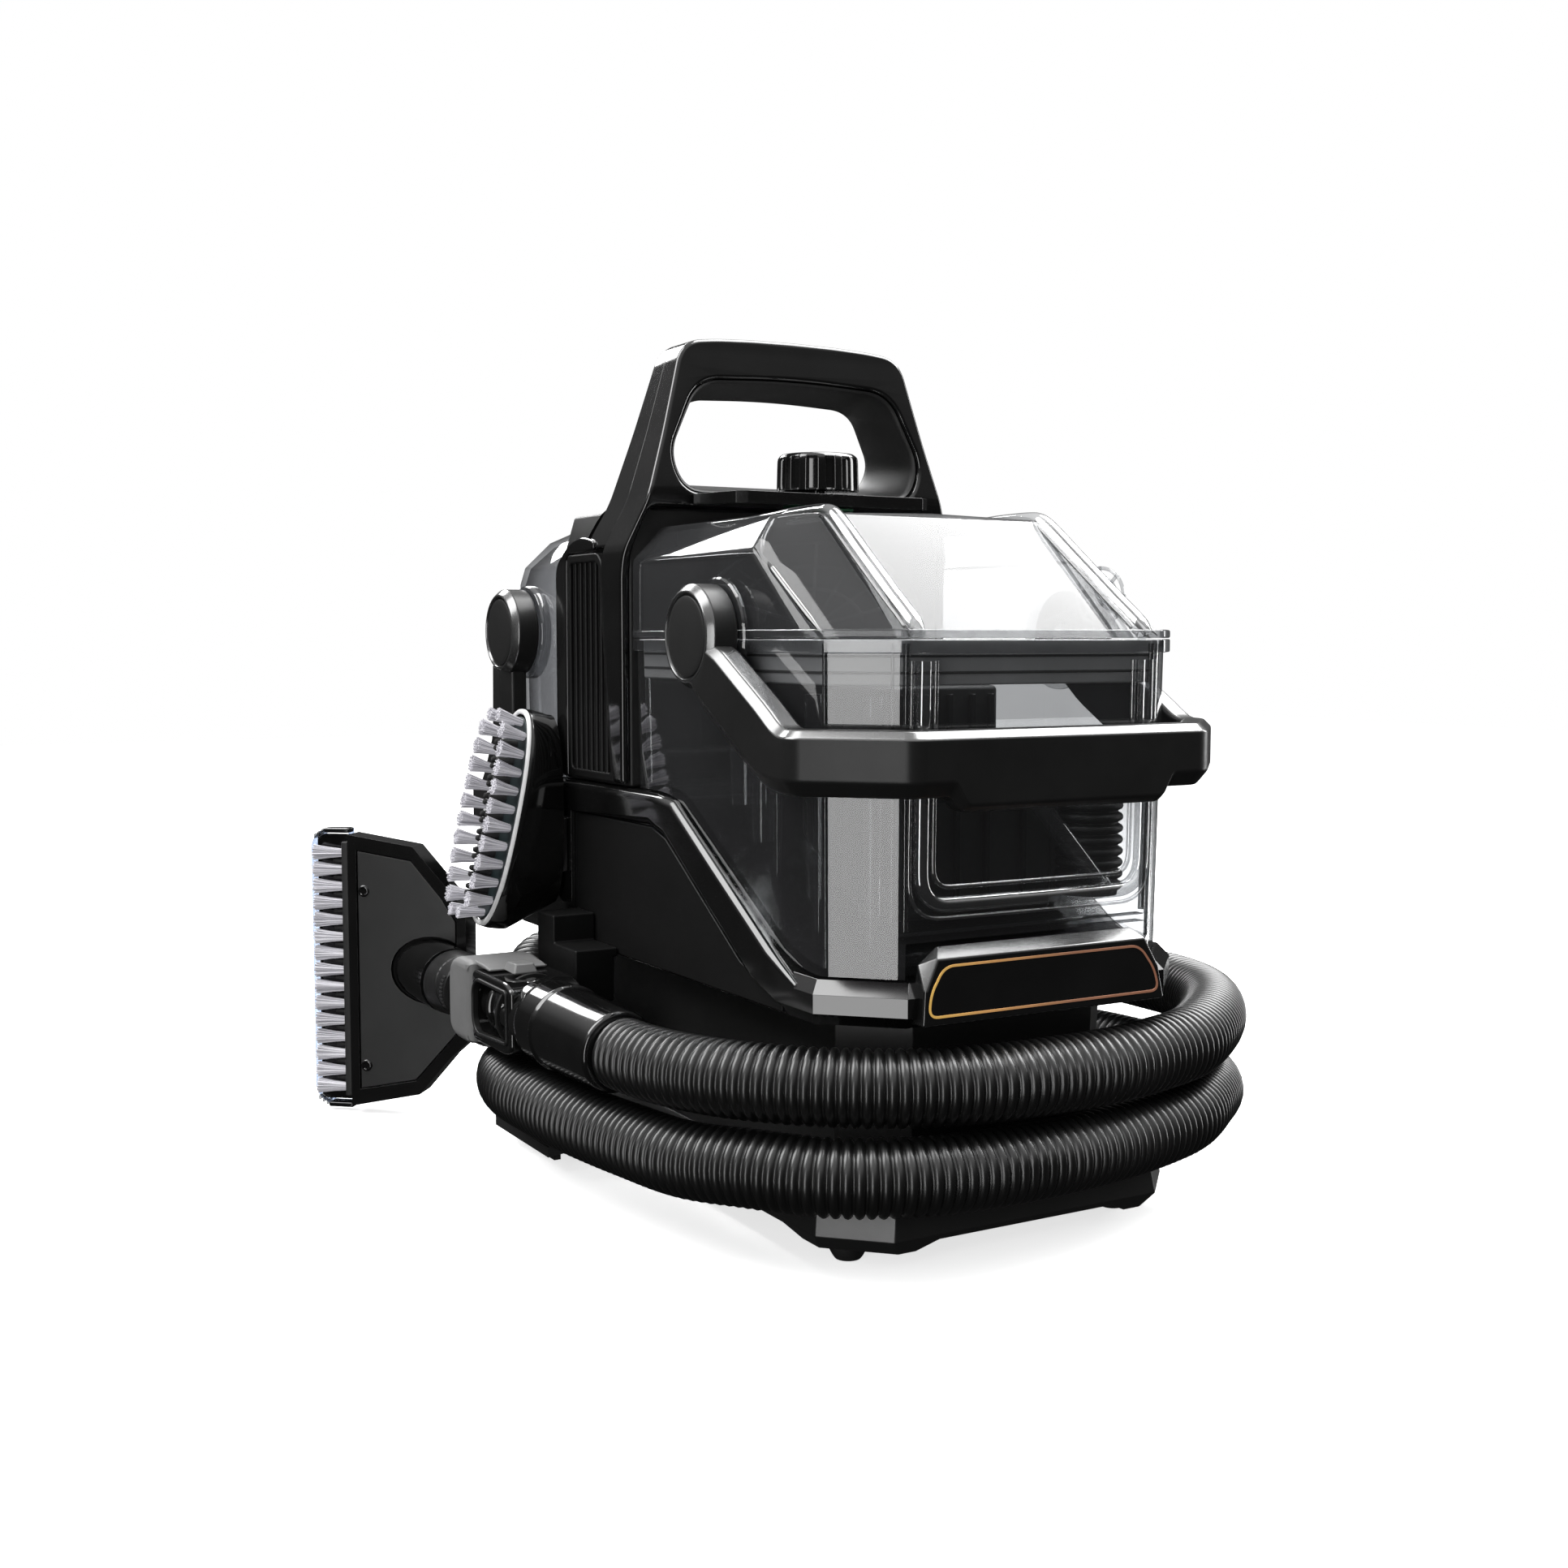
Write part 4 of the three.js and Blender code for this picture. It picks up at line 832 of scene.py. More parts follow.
# (x, z) outline of the hand opening
OPENING = rounded(
    [(56.5, 389.5), (74, 352), (66, 333.4), (-66, 333.4), (-74, 352), (-56.5, 389.5), (0, 392.5)],
    [13, 13, 13, 13, 13, 13, 60], 12)
OPENING_Z = 361


def lookup(table, z):
    if z <= table[0][0]:
        return table[0][1]
    for (a, value_a), (b, value_b) in zip(table, table[1:]):
        if z <= b:
            return value_a + (value_b - value_a) * (z - a) / (b - a)
    return table[-1][1]


def eased(table, z):
    """The table with its bends eased over a few millimetres."""
    return sum(lookup(table, z + 6.0 * k / 4) for k in range(-4, 5)) / 9


def handle_shells():
    # right half of the outlines, (x, z)
    top = [(0, 411.2), (24, 410.9), (44, 410.0), (56.5, 408.6), (62.5, 405.4), (66, 400)]
    side = [(70.4, 384), (76, 364), (81.6, 346), (86.6, 330), (91.5, 316)]
    foot = [(95.6, 305), (96, 296), (96, 250), (96, 190.6), (91.3, 190.6), (91.3, 250),
            (91.3, 303), (84.6, 326.6), (60, 326.6)]
    rear_foot = [(94.3, 307.5), (91.5, 306.9), (84.8, 326.6), (60, 326.6)]
    cuts = (*range(200, 281, 20), *range(288, 337, 4), 345, 360, 380, 400)
    # name, half outline, corner radius, depth range as a share, front rim, rear rim
    for name, half, corner, near, far, front_rim, rear_rim in (
        ("front", top + side + foot, 5, 0.0, 0.5, 2.1, 0.35),
        ("rear", top + side + rear_foot, 7, 0.5, 1.0, 0.35, 3.4),
    ):
        outline = rounded(symmetric(half), corner, 4)
        # made 1000 deep so that each vertex shows which face it belongs to
        shell = slab(outline, "y", 0, 1000, front_rim, rear_rim, holes=[OPENING], steps=5)
        with editing(shell) as bm:
            for z in cuts:
                bmesh.ops.bisect_plane(bm, geom=bm.verts[:] + bm.edges[:] + bm.faces[:],
                                       plane_co=(0, 0, z), plane_no=UP, dist=1e-4)
        for v in shell.data.vertices:
            y, z = v.co.y, v.co.z
            front, rear = eased(HANDLE_FRONT, z), eased(HANDLE_REAR, z)
            if y < 500:
                parting = 0.15 if near else 0
                v.co.y = front + (rear - front) * near + y + parting
            else:
                v.co.y = front + (rear - front) * far - (1000 - y)
        piece(shell, f"handle_{name}_skin", "gloss", "machine",
              replaces=f"handle_{name}_shell", sharp=35)


def handle_side_frames():
    outline = [(50, 307), (50, 311), (64, 314), (80, 311.5), (98.6, 300), (98.6, 190.6),
               (84.6, 190.6), (84.6, 305.6), (60, 305.8)]
    for side, sign in SIDES:
        bar = slab(rounded(outline, [1, 2, 12, 12, 6, 1, 1, 6, 6], 4),
                   "x", *span(sign, 91.6, 95.2), 1.1)
        piece(bar, "handle_side_frame_" + side, "gloss", "machine")


def handle_liner():
    """Soft liner of the hand opening: a wide ring that narrows towards the back."""
    rings = []
    # how far the ring closes in, share of the handle's depth
    for closing, depth in (
        (0.6, 0.05), (0.6, 0.5), (0.6, 0.97), (6.0, 0.985), (7.0, 0.96), (7.2, 0.88),
        (6.6, 0.72), (5.6, 0.55), (4.4, 0.38), (3.2, 0.24), (2.2, 0.12), (1.4, 0.06),
    ):
        ring = []
        for x, z in OPENING:
            x = x * (1 - closing / 60)
            z = OPENING_Z + (z - OPENING_Z) * (1 - closing / 29)
            front, rear = eased(HANDLE_FRONT, z), eased(HANDLE_REAR, z)
            y = front + (rear - front) * depth
            if abs(x) < 22 and y < 12 and z < 336:
                z = min(z, 333.5)
            ring.append((x, y, z))
        rings.append(ring)
    skin(loft(rings, closed=True), "handle_liner", "liner", "machine", sharp=50, weighted=False)


handle_shells()
handle_side_frames()
handle_liner()


# ---------------------------------------------------------------- dial
def dial_knob():
    def flute(angle, t, r):
        """Fourteen shallow grip flutes that fade out towards the shoulder."""
        if not (0.3 < t < 17.5) or r < 16:
            return r
        off_middle = abs((angle * 14 / (2 * math.pi)) % 1.0 - 0.5) * 2
        depth = 1.5 * (1 - min(1, max(0, (off_middle - 0.38) / 0.16)))
        fade = min(1, max(0, (17.2 - t) / 1.4)) * min(1, max(0, (t - 0.4) / 0.8))
        return r - depth * fade

    profile = [
        (0, 0), (0, 19.6), (0.5, 20.4), (1.4, 20.5), (4, 20.4), (8, 20.3), (12, 20.2),
        (15, 20.1), (16, 20.0), (17, 19.8), (18, 18.9), (18.7, 17.9), (18.8, 17.0),
        (18.5, 16.2), (17.4, 15.3), (16.7, 14.4), (16.5, 13.0), (16.6, 6), (16.8, 0),
    ]
    knob = lathe((0, KNOB_Y, 334.2), UP, profile, 224, flute)
    shaft = rod((0, KNOB_Y, 325.2), (0, KNOB_Y, 334.6), 4.6, 40)
    pointer = bevel(block(-1.1, 1.1, -27.6, -17.5, 350.2, 352.1), 0.5, 3)
    skin(joined(knob, shaft, pointer), "dial_knob", "gloss", "dial")


def dial_ticks():
    """Seven marks in front of the knob, 15 degrees apart, the middle one longer."""
    radius, half_width = 25.2, 0.35
    thickness = Vector((0, 0, 0.3))
    ticks = []
    for k in range(1, 8):
        w = math.radians(-150 + k * 15)
        out = Vector((math.cos(w), math.sin(w), 0))
        middle = Vector((radius * math.cos(w), KNOB_Y + radius * math.sin(w), 332.45))
        across = Vector((-out.y, out.x, 0)) * half_width
        reach = out * (1.7 if k == 4 else 1.1)
        top = [middle - reach - across, middle + reach - across,
               middle + reach + across, middle - reach + across]
        ticks.append(loft([top, [p - thickness for p in top]]))
    piece(joined(*ticks), "dial_tick_marks", "button", "machine", slot="grip_grey",
          weighted=False)


refined("dial_platform", "gloss", "machine", 1.1, 4)
refined("dial_switch", "board", "machine", 0.3, 2, slot="matte_black")
dial_knob()
dial_ticks()


# ---------------------------------------------------------------- front tank
def tank_rim(z0, z1, rim):
    """The flange round the joint of tub and lid."""
    outer = rounded(octagon(93.5, -193, 14.8, 26.4, 6), 3.2, 4)
    inner = rounded(octagon(91.4, -190.7, 14.2, 25.6, 6), 3, 4)
    return slab(outer, "z", z0, z1, rim, holes=[inner])


def tub_solid(wall, bottom, top, underside, notch_half, notch_rear, notch_top):
    """The tub's outer or inner volume: tapered box, stepped floor, notch at the lower front."""
    levels = ((bottom, 89.4 - wall, -188 + wall, 12 - wall, 25 - 0.4 * wall),
              (top, 91.3 - wall, -190.5 + wall, 14.4 - wall, 25.6 - 0.4 * wall))
    box = loft([
        [(x, y, z) for x, y in rounded(octagon(*size, 6), 3.4 - 0.5 * wall, 5)]
        for z, *size in levels
    ])
    above = prism(rounded(underside, [0, 12, 12, 10, 10, 0, 0, 0], 6), "x", -120, 120)
    solid = boolean(box, above, operation="INTERSECT")
    notch = rect(-notch_half, notch_half, -205, notch_rear)
    return boolean(solid, slab(notch, "z", 100, notch_top, 1.0))


def front_tub():
    # (y, z) outlines of the space above the floor
    outer = tub_solid(0, TUB_BOTTOM, TUB_TOP, [
        (-230, 123.4), (-151.4, 123.4), (-128.4, 131), (-36.8, 187), (-17.6, 189.5),
        (40, 189.5), (40, 280), (-230, 280)], 64, -179.6, 138.2)
    inner = tub_solid(2.6, TUB_BOTTOM - 1, SEAM + 6, [
        (-230, 126.6), (-152.4, 126.6), (-130.4, 134), (-38.6, 190.2), (-18.4, 192.3),
        (40, 192.3), (40, 290), (-230, 290)], 66.6, -177, 140.8)
    tub = boolean(outer, inner)
    skin(tub, "front_tank_tub", "clear", "front_tank", sharp=25, weighted=False)
    # level lower faces of the tub: less reflection, and a darker tint that is painted shade
    second_material(tub, "clear_dull_shaded", lambda n, c: abs(n.z) > 0.4 and c.z < 220)
    piece(tank_rim(256, TUB_TOP, 0.7), "front_tank_rim", "clear", "front_tank")


def tub_edges():
    """Dark tubes up the tub's front corners: painted shade for the dark refraction lines at those
    edges.
    """
    top = 260
    # x and y at the bottom, x and y at the top, bottom z, radius
    edges = ((62.6, -184.9, 63.9, -187.3, 143, 1.5), (86.0, -161.8, 88.2, -163.8, 126.5, 1.1),
             (66.6, -181.4, 68.2, -183.6, 143, 0.7))
    for side, sign in SIDES:
        for k, (x0, y0, x1, y1, z0, radius) in enumerate(edges):
            path = [(sign * x0, y0, z0), (sign * (x0 + x1) / 2, (y0 + y1) / 2, (z0 + top) / 2),
                    (sign * x1, y1, top)]
            piece(tube(path, 30, radius, 12), f"front_tank_edge_{side}_{k}", "clear_line",
                  "front_tank", weighted=False)


def window_ridges():
    """The U-shaped ridge pressed into the tank's front wall, with a finer line on each side."""
    # half width, bottom z, corner radius, bead radius, offset in y
    for k, (half, bottom, corner, radius, depth) in enumerate((
        (58, 153.4, 14, 3.3, -0.6), (51.5, 160.4, 9, 1.1, 0.0), (63.2, 147.6, 17, 0.9, 0.0),
    )):
        outline = rounded([(-half, 253), (-half, bottom), (half, bottom), (half, 253)],
                          [0, corner, corner, 0], 12)
        path = []
        for x, z in tidy(outline, 0.5):
            wall = -188 - 2.5 * (z - TUB_BOTTOM) / (TUB_TOP - TUB_BOTTOM)
            path.append((x, wall + depth, z))
        piece(tube(path, 220, radius, 20), f"front_tank_window_ridge_{k}", "clear_rib",
              "front_tank", weighted=False)


def tank_separator():
    # (y, z) outlines of the two boxes
    left = slab(rounded([(-151, 140), (-130, 139.4), (-76, 172), (-76, 204), (-151, 204)],
                        [5, 4, 4, 4, 4], 4), "x", -48, 40, 3)
    right = slab(rounded([(-132, 142), (-124, 142.6), (-76, 172), (-76, 204), (-132, 204)],
                         [4, 3, 4, 4, 4], 4), "x", 40.3, 79, 2.4)
    tower = slab(rounded(rect(-48, 12, -148, -100), 5, 5), "z", 203, 241.5, 2)
    skin(joined(left, right, tower), "tank_separator", "matte", "front_tank")
    ribs = []
    # x places, half width, front y, bottom z, top z
    for places, half, front, z0, z1 in (
        ((-40, -28, -16, -4, 6), 0.9, -150.6, 208, 238),
        ((-36, -14, 2, 22), 1.0, -153.6, 146, 199),
    ):
        for x in places:
            ribs.append(slab(rect(x - half, x + half, front, front + 2.8), "z", z0, z1, 0.5))
    piece(joined(*ribs), "tank_separator_ribs", "panel", "front_tank")


def tank_bellows():
    profile = [(0, 0), (0, 13)]
    for i in range(10):
        t = 2 + i * 5.2
        profile += [(t, 13.2), (t + 0.9, 14.8), (t + 1.8, 15.4), (t + 2.8, 15.4),
                    (t + 3.7, 14.8), (t + 4.6, 13.2)]
    profile += [(54.6, 12), (54.6, 0)]
    bellows = lathe((60.5, -151, 146), UP, profile, 48)
    piece(bellows, "tank_fill_bellows", "matte", "front_tank")


def float_post():
    post = rod((68, -60, 184), (68, -60, 240), 2.6, 20)
    foot = slab(rect(44, 71, -63, -57), "z", 183, 185.6, 0.8)
    piece(joined(post, foot), "tank_float_post", "matte", "front_tank")


def clear_tubes():
    """A slanting tube with a collar behind the front wall, then six uprights on the left."""
    collar = [(-3, 0), (-3, 4.4), (-2.4, 5.2), (2.4, 5.2), (3, 4.4), (3, 0)]
    tubes = [
        tube([(-2, -178, 205), (22, -178, 179), (45, -177.6, 154)], 30, 4.1, 24),
        lathe((45.6, -177.6, 153.4), (0.66, 0, -0.75), collar, 24),
    ]
    # x, y, bottom z, top z, bottom radius, top radius, segments
    for x, y, z0, z1, low, high, seg in (
        (-62, -120, 149, 238, 7.5, 8.5, 32), (-72, -84, 171, 238, 5, 6, 28),
        (-58, -153, 131, 238, 3.4, 4.4, 24), (-76, -140, 138, 215, 2.2, 3.0, 20),
        (-66, -60, 186, 240, 9, 9, 32), (-76, -104, 158, 226, 1.6, 2.6, 20),
    ):
        tubes.append(rod((x, y, z0), (x, y, z1), low, seg, high))
    for k, obj in enumerate(tubes):
        piece(obj, f"tank_clear_tube_{k}", "clear_rib" if k < 2 else "clear", "front_tank",
              weighted=False)


front_tub()
tub_edges()
window_ridges()
tank_separator()
tank_bellows()
float_post()
clear_tubes()
refined("tank_float", "rubber", "float", 1.5, 3)


# ---------------------------------------------------------------- lid of the front tank
def pivot_boss(name, sign, pivot, root, profile, material, body):
    """Round boss on a tank's side with the pin its bail turns on."""
    boss = lathe((sign * root, *pivot), (sign, 0, 0), profile, 72)
    pin = rod((sign * 96.3, *pivot), (sign * 109, *pivot), 6, 32)
    piece(joined(boss, pin), name, material, body)


def lid_hood():
    def both(points):
        return [(sign * x, y, z) for x, y, z in points for sign in (-1, 1)]

    def corners(z):
        return both([(65.7, -190.5, z), (91.3, -165, z), (91.3, 14.4, z)]) + both([
            (91.3, 14.4, 300), (91.3, -108.7, 300), (76, 14.4, 316.5), (76, -99.2, 316.5),
            (57, -118, 316.5),
        ]) + [(0, 14.4, 318.4), (0, -111, 318.4)]

    def shrink(x, y, z):
        return x * 0.9725, (y + 88) * 0.9755 - 88, z - 2.5 if z > SEAM + 3 else z

    outer = round_hull(corners(SEAM - 8), 4.4, 4)
    outer = boolean(outer, block(-130, 130, -230, 60, SEAM - 40, SEAM))
    inner = round_hull([shrink(*p) for p in corners(240)], 2.6, 3)
    skin(boolean(outer, inner), "front_lid", "clear_lid", "lid", sharp=38, weighted=False)
    piece(tank_rim(SEAM + 0.1, SEAM + 3.7, 0.9), "front_lid_rim", "clear_lid", "lid")


def lid_bead(side, sign):
    """Wide rounded bead down a front corner of the hood, running back along the crown."""
    points = [
        (59.4, -188.6, 263.2), (59.2, -186.2, 266.5), (58.6, -167, 280.6), (57.8, -144, 297.4),
        (57.0, -121, 314.0), (56.8, -116.4, 316.0), (56.6, -110, 316.7), (56.2, -60, 316.2),
        (56.0, 8, 315.8),
    ]
    path = curve([(sign * x, y, z) for x, y, z in points], 160)
    radii = []
    for i in range(161):
        body = 4.2 if i < 92 else max(2.6, 4.2 - (i - 92) * 0.04)
        radii.append(min(body, 3.2 + i * 0.25))
    piece(sweep(path, radii, 28), "front_lid_bead_" + side, "clear_rib", "lid")
    # two thin dark tubes beside each bead: painted shade for its dark borders
    for k, offset in enumerate((-4.4, 4.6)):
        line = [Vector((v.x + sign * offset, v.y + 0.3, v.z - 0.5)) for v in path[4:96]]
        piece(sweep(line, 0.75, 10), f"front_lid_bead_line_{side}_{k}", "clear_line", "lid",
              weighted=False)


def lid_edges(side, sign):
    """Dark tubes along the hood's side edges, thinning at their ends: painted shade for the dark
    refraction lines there.
    """
    for k, (points, r) in enumerate((
        ([(88.6, -163.2, 263.5), (88.7, -146, 275), (88.5, -124, 289.6), (87.8, -111, 298)], 1.5),
        ([(87.8, -111, 298), (84, -106, 305), (75.4, -99.6, 314.2)], 1.2),
        ([(88.9, -108, 298.6), (88.9, -50, 298.8), (88.9, 10, 298.8)], 0.9),
    )):
        radii = [min(r, 0.3 + 4 * r * i / 60, 0.3 + 4 * r * (60 - i) / 60) for i in range(61)]
        edge = tube([(sign * x, y, z) for x, y, z in points], 60, radii, 12)
        piece(edge, f"front_lid_edge_{side}_{k}", "clear_line", "lid", weighted=False)


def lid_ribs():
    """A fan of thin webs with arcs at the back of the hood, and a rosette near its front."""
    width, height, base = 66, 42, 268
    ribs = []
    for k in range(7):
        a = math.radians(20 + k * 23)
        c, s = math.cos(a), math.sin(a)
        web = [(0, -6, base), (34 * c, -7, base + 22 * s), (width * c, -8, base + height * s)]
        ribs.append(tube(web, 12, 0.9, 10))
    for r in (0.45, 0.72, 1.0):
        arc = []
        for k in range(13):
            a = math.radians(6 + k * 14)
            arc.append((width * r * math.cos(a), -7.5, base + height * r * math.sin(a)))
        ribs.append(tube(arc, 48, 1.0, 10))
    x, y, z = 66, -150, 281
    for r in (6, 11, 16):
        angles = [k * math.pi / 24 for k in range(48)]
        circle = [Vector((x, y + r * math.cos(a), z + r * 0.8 * math.sin(a))) for a in angles]
        ribs.append(sweep(circle, 0.8, 8))
    for k in range(8):
        a = k * math.pi / 4
        c, s = math.cos(a), math.sin(a)
        ribs.append(rod((x, y + 5 * c, z + 4 * s), (x, y + 17 * c, z + 13.6 * s), 0.8, 8))
    piece(joined(*ribs), "front_lid_inner_ribs", "clear_lid", "lid", weighted=False)


def lid_gasket():
    refined("lid_gasket", "gasket", "lid", 0.8, 2)
    for i, z in enumerate((247.6, 254.4)):
        lip = slab(rounded(octagon(88.62, -187.6, 11.6, 24.4, 5), 3, 3), "z", z, z + 1.1, 0.3,
                   holes=[octagon(87.4, -186.4, 10.4, 24, 5)], steps=2)
        piece(lip, f"lid_gasket_lip_{i}", "rubber", "lid")


lid_hood()
for side, sign in SIDES:
    pivot_boss("front_lid_boss_" + side, sign, FRONT_PIVOT, 91.6, [
        (2.2, 9), (2.2, 25.2), (2.5, 25.9), (4.0, 26), (4.9, 25.3), (4.9, 22.6), (4.2, 22),
        (4.2, 9)], "clear", "lid")
    lid_bead(side, sign)
    lid_edges(side, sign)
lid_ribs()
lid_gasket()


# ---------------------------------------------------------------- carry bails
def bail_section(top, face, low, chamfer):
    """Outer face at 0, inner face at 1; heights measured along the up vector."""
    t = BAIL_THICK
    corners = [
        (0, top - 3.5), (3.2, top - 0.3), (4.4, top), (t - 1.4, top), (t, top - 1.4),
        (t, low + 1.4), (t - 1.4, low), (chamfer + 1.2, low), (chamfer, low + 0.7), (0, face),
    ]
    radii = [0.9, 0.6, 0.6, 1, 1, 1, 1, 0.6, 1.0, 1.2]
    return [(a / t, b) for a, b in rounded(corners, radii, 3)]


def bezier(start, control, end, t):
    return tuple(a * (1 - t) ** 2 + 2 * b * t * (1 - t) + c * t * t
                 for a, b, c in zip(start, control, end))


def bail_hubs(end, pivot):
    body = end + "_carry_bail"
    hub_profile = [
        (0.4, 7), (0.4, 21.8), (1.2, 22.8), (2.4, 23.0), (11.0, 23.0), (11.7, 22.9),
        (12.3, 22.5), (14.5, 20.5), (14.9, 20.0), (15.1, 19.5), (15.0, 19.0), (14.6, 18.7),
        (13.7, 18.35), (13.6, 18.2), (13.6, 7),
    ]
    cap_profile = [(13.8, 0), (13.8, 17.4), (14.1, 17.75), (14.5, 17.6), (14.75, 17.1),
                   (14.95, 15), (15.1, 8), (15.15, 0)]
    for side, sign in SIDES:
        origin = (sign * 96.6, *pivot)
        hub = lathe(origin, (sign, 0, 0), hub_profile, 96)
        piece(hub, f"{end}_bail_hub_{side}", "satin", body)
        # the hub's outer bevel gets the bevel plastic: its lighter colour is painted highlight
        second_material(hub, "bevel", lambda n, c: 0.25 < abs(n.x) < 0.97 and abs(c.x) > 108.3)
        cap = lathe(origin, (sign, 0, 0), cap_profile, 72)
        skin(cap, f"{end}_hub_cap_{side}", "satin_disc", body)


def bail(end, pivot, toward, arm, inner_reach, corners, bar_y, bar_z, bar, middle, shine_y):
    """A U-shaped bail from hub to hub. toward is -1 for the front one and 1 for the rear one,
    inner_reach the furthest the arm's inner face goes, bar the section at the corners, middle
    the (x, section) stations of the crossbar and shine_y the limit on y of a shiny normal."""
    inner_x = BAIL_X - BAIL_THICK
    chamfer = bar[3]
    rows = []    # outer point, inner point, up vector, section
    for y, z, half, degrees in arm:
        a = math.radians(degrees)
        inner_y = toward * min(toward * y, inner_reach)
        rows.append(((-BAIL_X, y, z), (-inner_x, inner_y, z),
                     (0, toward * math.sin(a), math.cos(a)), (half, -half + 6.6, -half, chamfer)))
    # each corner starts where the straight before it ends; only the second needs its t = 0
    for (outer, inner), first in zip(corners, ((), (0,))):
        for t in (*first, 0.15, 0.3, 0.5, 0.7, 0.85, 1):
            rows.append(((*bezier(*outer, t), bar_z), (*bezier(*inner, t), bar_z), UP, bar))
    bar_inner_y = bar_y - toward * BAIL_THICK
    for x, section in middle:
        rows.append(((x, bar_y, bar_z), (x, bar_inner_y, bar_z), UP, section))
    rows += [((-outer[0], *outer[1:]), (-inner[0], *inner[1:]), up, section)
             for outer, inner, up, section in reversed(rows) if abs(outer[0]) > 0.01]
    rings = []
    for outer, inner, up, section in rows:
        outer, inner, up = Vector(outer), Vector(inner), Vector(up).normalized()
        rings.append([tuple(outer + (inner - outer) * a + up * b)
                      for a, b in bail_section(*section)])
    holes = [rod((sign * 90, *pivot), (sign * 120, *pivot), 20.8, 64) for sign in (-1, 1)]
    obj = boolean(loft(rings), *holes)

    # upward-facing bevels get the bevel plastic: its lighter colour is painted highlight
    def shiny(n, c):
        return 0.3 < n.z < 0.97 and (n.x * c.x > 0 or abs(n.x) < 0.3) and n.y < shine_y

    skin(obj, end + "_bail", "satin", end + "_carry_bail", sharp=50)
    second_material(obj, "bevel", shiny)
    bail_hubs(end, pivot)


def front_bail():
    # y, z, half height, slope in degrees
    arm = (
        (-88, 252.5, 13.0, 30), (-100, 245.5, 15.0, 30), (-106, 242.3, 15.6, 29.9),
        (-140, 222.8, 15.8, 29.9), (-147, 218.8, 15.6, 28), (-152, 216.2, 15.2, 23),
        (-157, 214.3, 14.6, 16), (-162, 213.1, 14.0, 8), (-166, 212.6, 13.6, 3),
        (-169, 212.5, 13.5, 0),
    )
    # outer and inner Bezier points (x, y) of the two bends on the left
    corners = (
        (((-111.8, -169.5), (-111.8, -174.5), (-108.0, -178.4)),
         ((-98.4, -167.6), (-98.4, -169), (-97.4, -170.0))),
        (((-79, -208.1), (-75, -212.2), (-69.6, -212.2)),
         ((-70.6, -197.5), (-69.3, -198.8), (-67.6, -198.8))),
    )
    # x, and how far the crossbar has deepened to its middle section
    stages = ((-62, 0), (-57.5, 0.0), (-56, 0.05), (-54.8, 0.2), (-53.2, 0.5), (-51.6, 0.8),
              (-50, 0.96), (-48.4, 1), (-40, 1), (-20, 1), (0, 1))
    middle = [(x, (13.5, -7.0 - 9.6 * k, -13.5 - 6 * k, 4.6 - 2.0 * k)) for x, k in stages]
    bail("front", FRONT_PIVOT, toward=-1, arm=arm, inner_reach=167.4, corners=corners,
         bar_y=-212.2, bar_z=212.5, bar=(13.5, -7.0, -13.5, 4.6), middle=middle, shine_y=0.35)


def rear_bail():
    # the same columns as the front bail
    arm = (
        (141.4, 254, 10.2, 90), (141.5, 232, 10.6, 90), (141.8, 214, 10.9, 86),
        (143.6, 205, 11.2, 76), (147.2, 197.4, 11.6, 64), (156, 182.6, 12.4, 56),
        (160.6, 176.6, 12.8, 46), (165.6, 171.8, 13.0, 32), (170.6, 169.2, 13.1, 16),
        (175.4, 168.5, 13.2, 4), (178.6, 168.4, 13.2, 0),
    )
    corners = (
        (((-111.8, 179), (-111.8, 184), (-108.2, 187.6)),
         ((-98.4, 177.2), (-98.4, 178.5), (-97.4, 179.5))),
        (((-88, 207.7), (-84, 211.8), (-78.6, 211.8)),
         ((-79.4, 197.3), (-78.2, 198.4), (-76.6, 198.4))),
    )
    bar = (13.2, -6.6, -13.2, 4.4)
    bail("rear", REAR_PIVOT, toward=1, arm=arm, inner_reach=177, corners=corners, bar_y=211.8,
         bar_z=168.4, bar=bar, middle=[(x, bar) for x in (-60, -30, 0)], shine_y=2)


front_bail()


# ---------------------------------------------------------------- clean water tank
def rear_tank():
    def corners(wall, bottom):
        out = []
        # z, half width, front y, rear y, front corner cut, rear corner cut
        for z, half, front, rear, front_cut, rear_cut in (
            (bottom, 89.4, 101, 184.6, 6, 28), (292, 91.3, 100.2, 186.4, 6, 28),
            (301 - 0.3 * wall, 89, 100.2, 184, 6, 27),
            (314.5 - 0.8 * wall, 77, 100.4, 175, 6, 25), (322.8 - wall, 60, 101, 164, 5, 22),
        ):
            ring = octagon(half - wall, front + wall, rear - wall, front_cut,
                           rear_cut - 0.4 * wall)
            out += [(x, y, z) for x, y in ring]
        return out

    outer = round_hull(corners(0, 172.5), 3.6, 3)
    inner = round_hull(corners(2.5, 175.1), 2.4, 2)
    cap_hole = rod((0, 133, 310), (0, 133, 330), 14.2, 64)
    valve_hole = rod((40, 140, 165), (40, 140, 180), 8.4, 48)
    skin(boolean(outer, inner, cap_hole, valve_hole), "rear_tank", "clear_rear", "clean_tank",
         sharp=38, weighted=False)
    for side, sign in SIDES:
        pivot_boss("rear_tank_boss_" + side, sign, REAR_PIVOT, 91, [
            (0.2, 9), (0.2, 25.2), (4.2, 25.2), (5.3, 24.4), (5.3, 21.6), (4.6, 21), (4.6, 9),
        ], "clear_rear", "clean_tank")


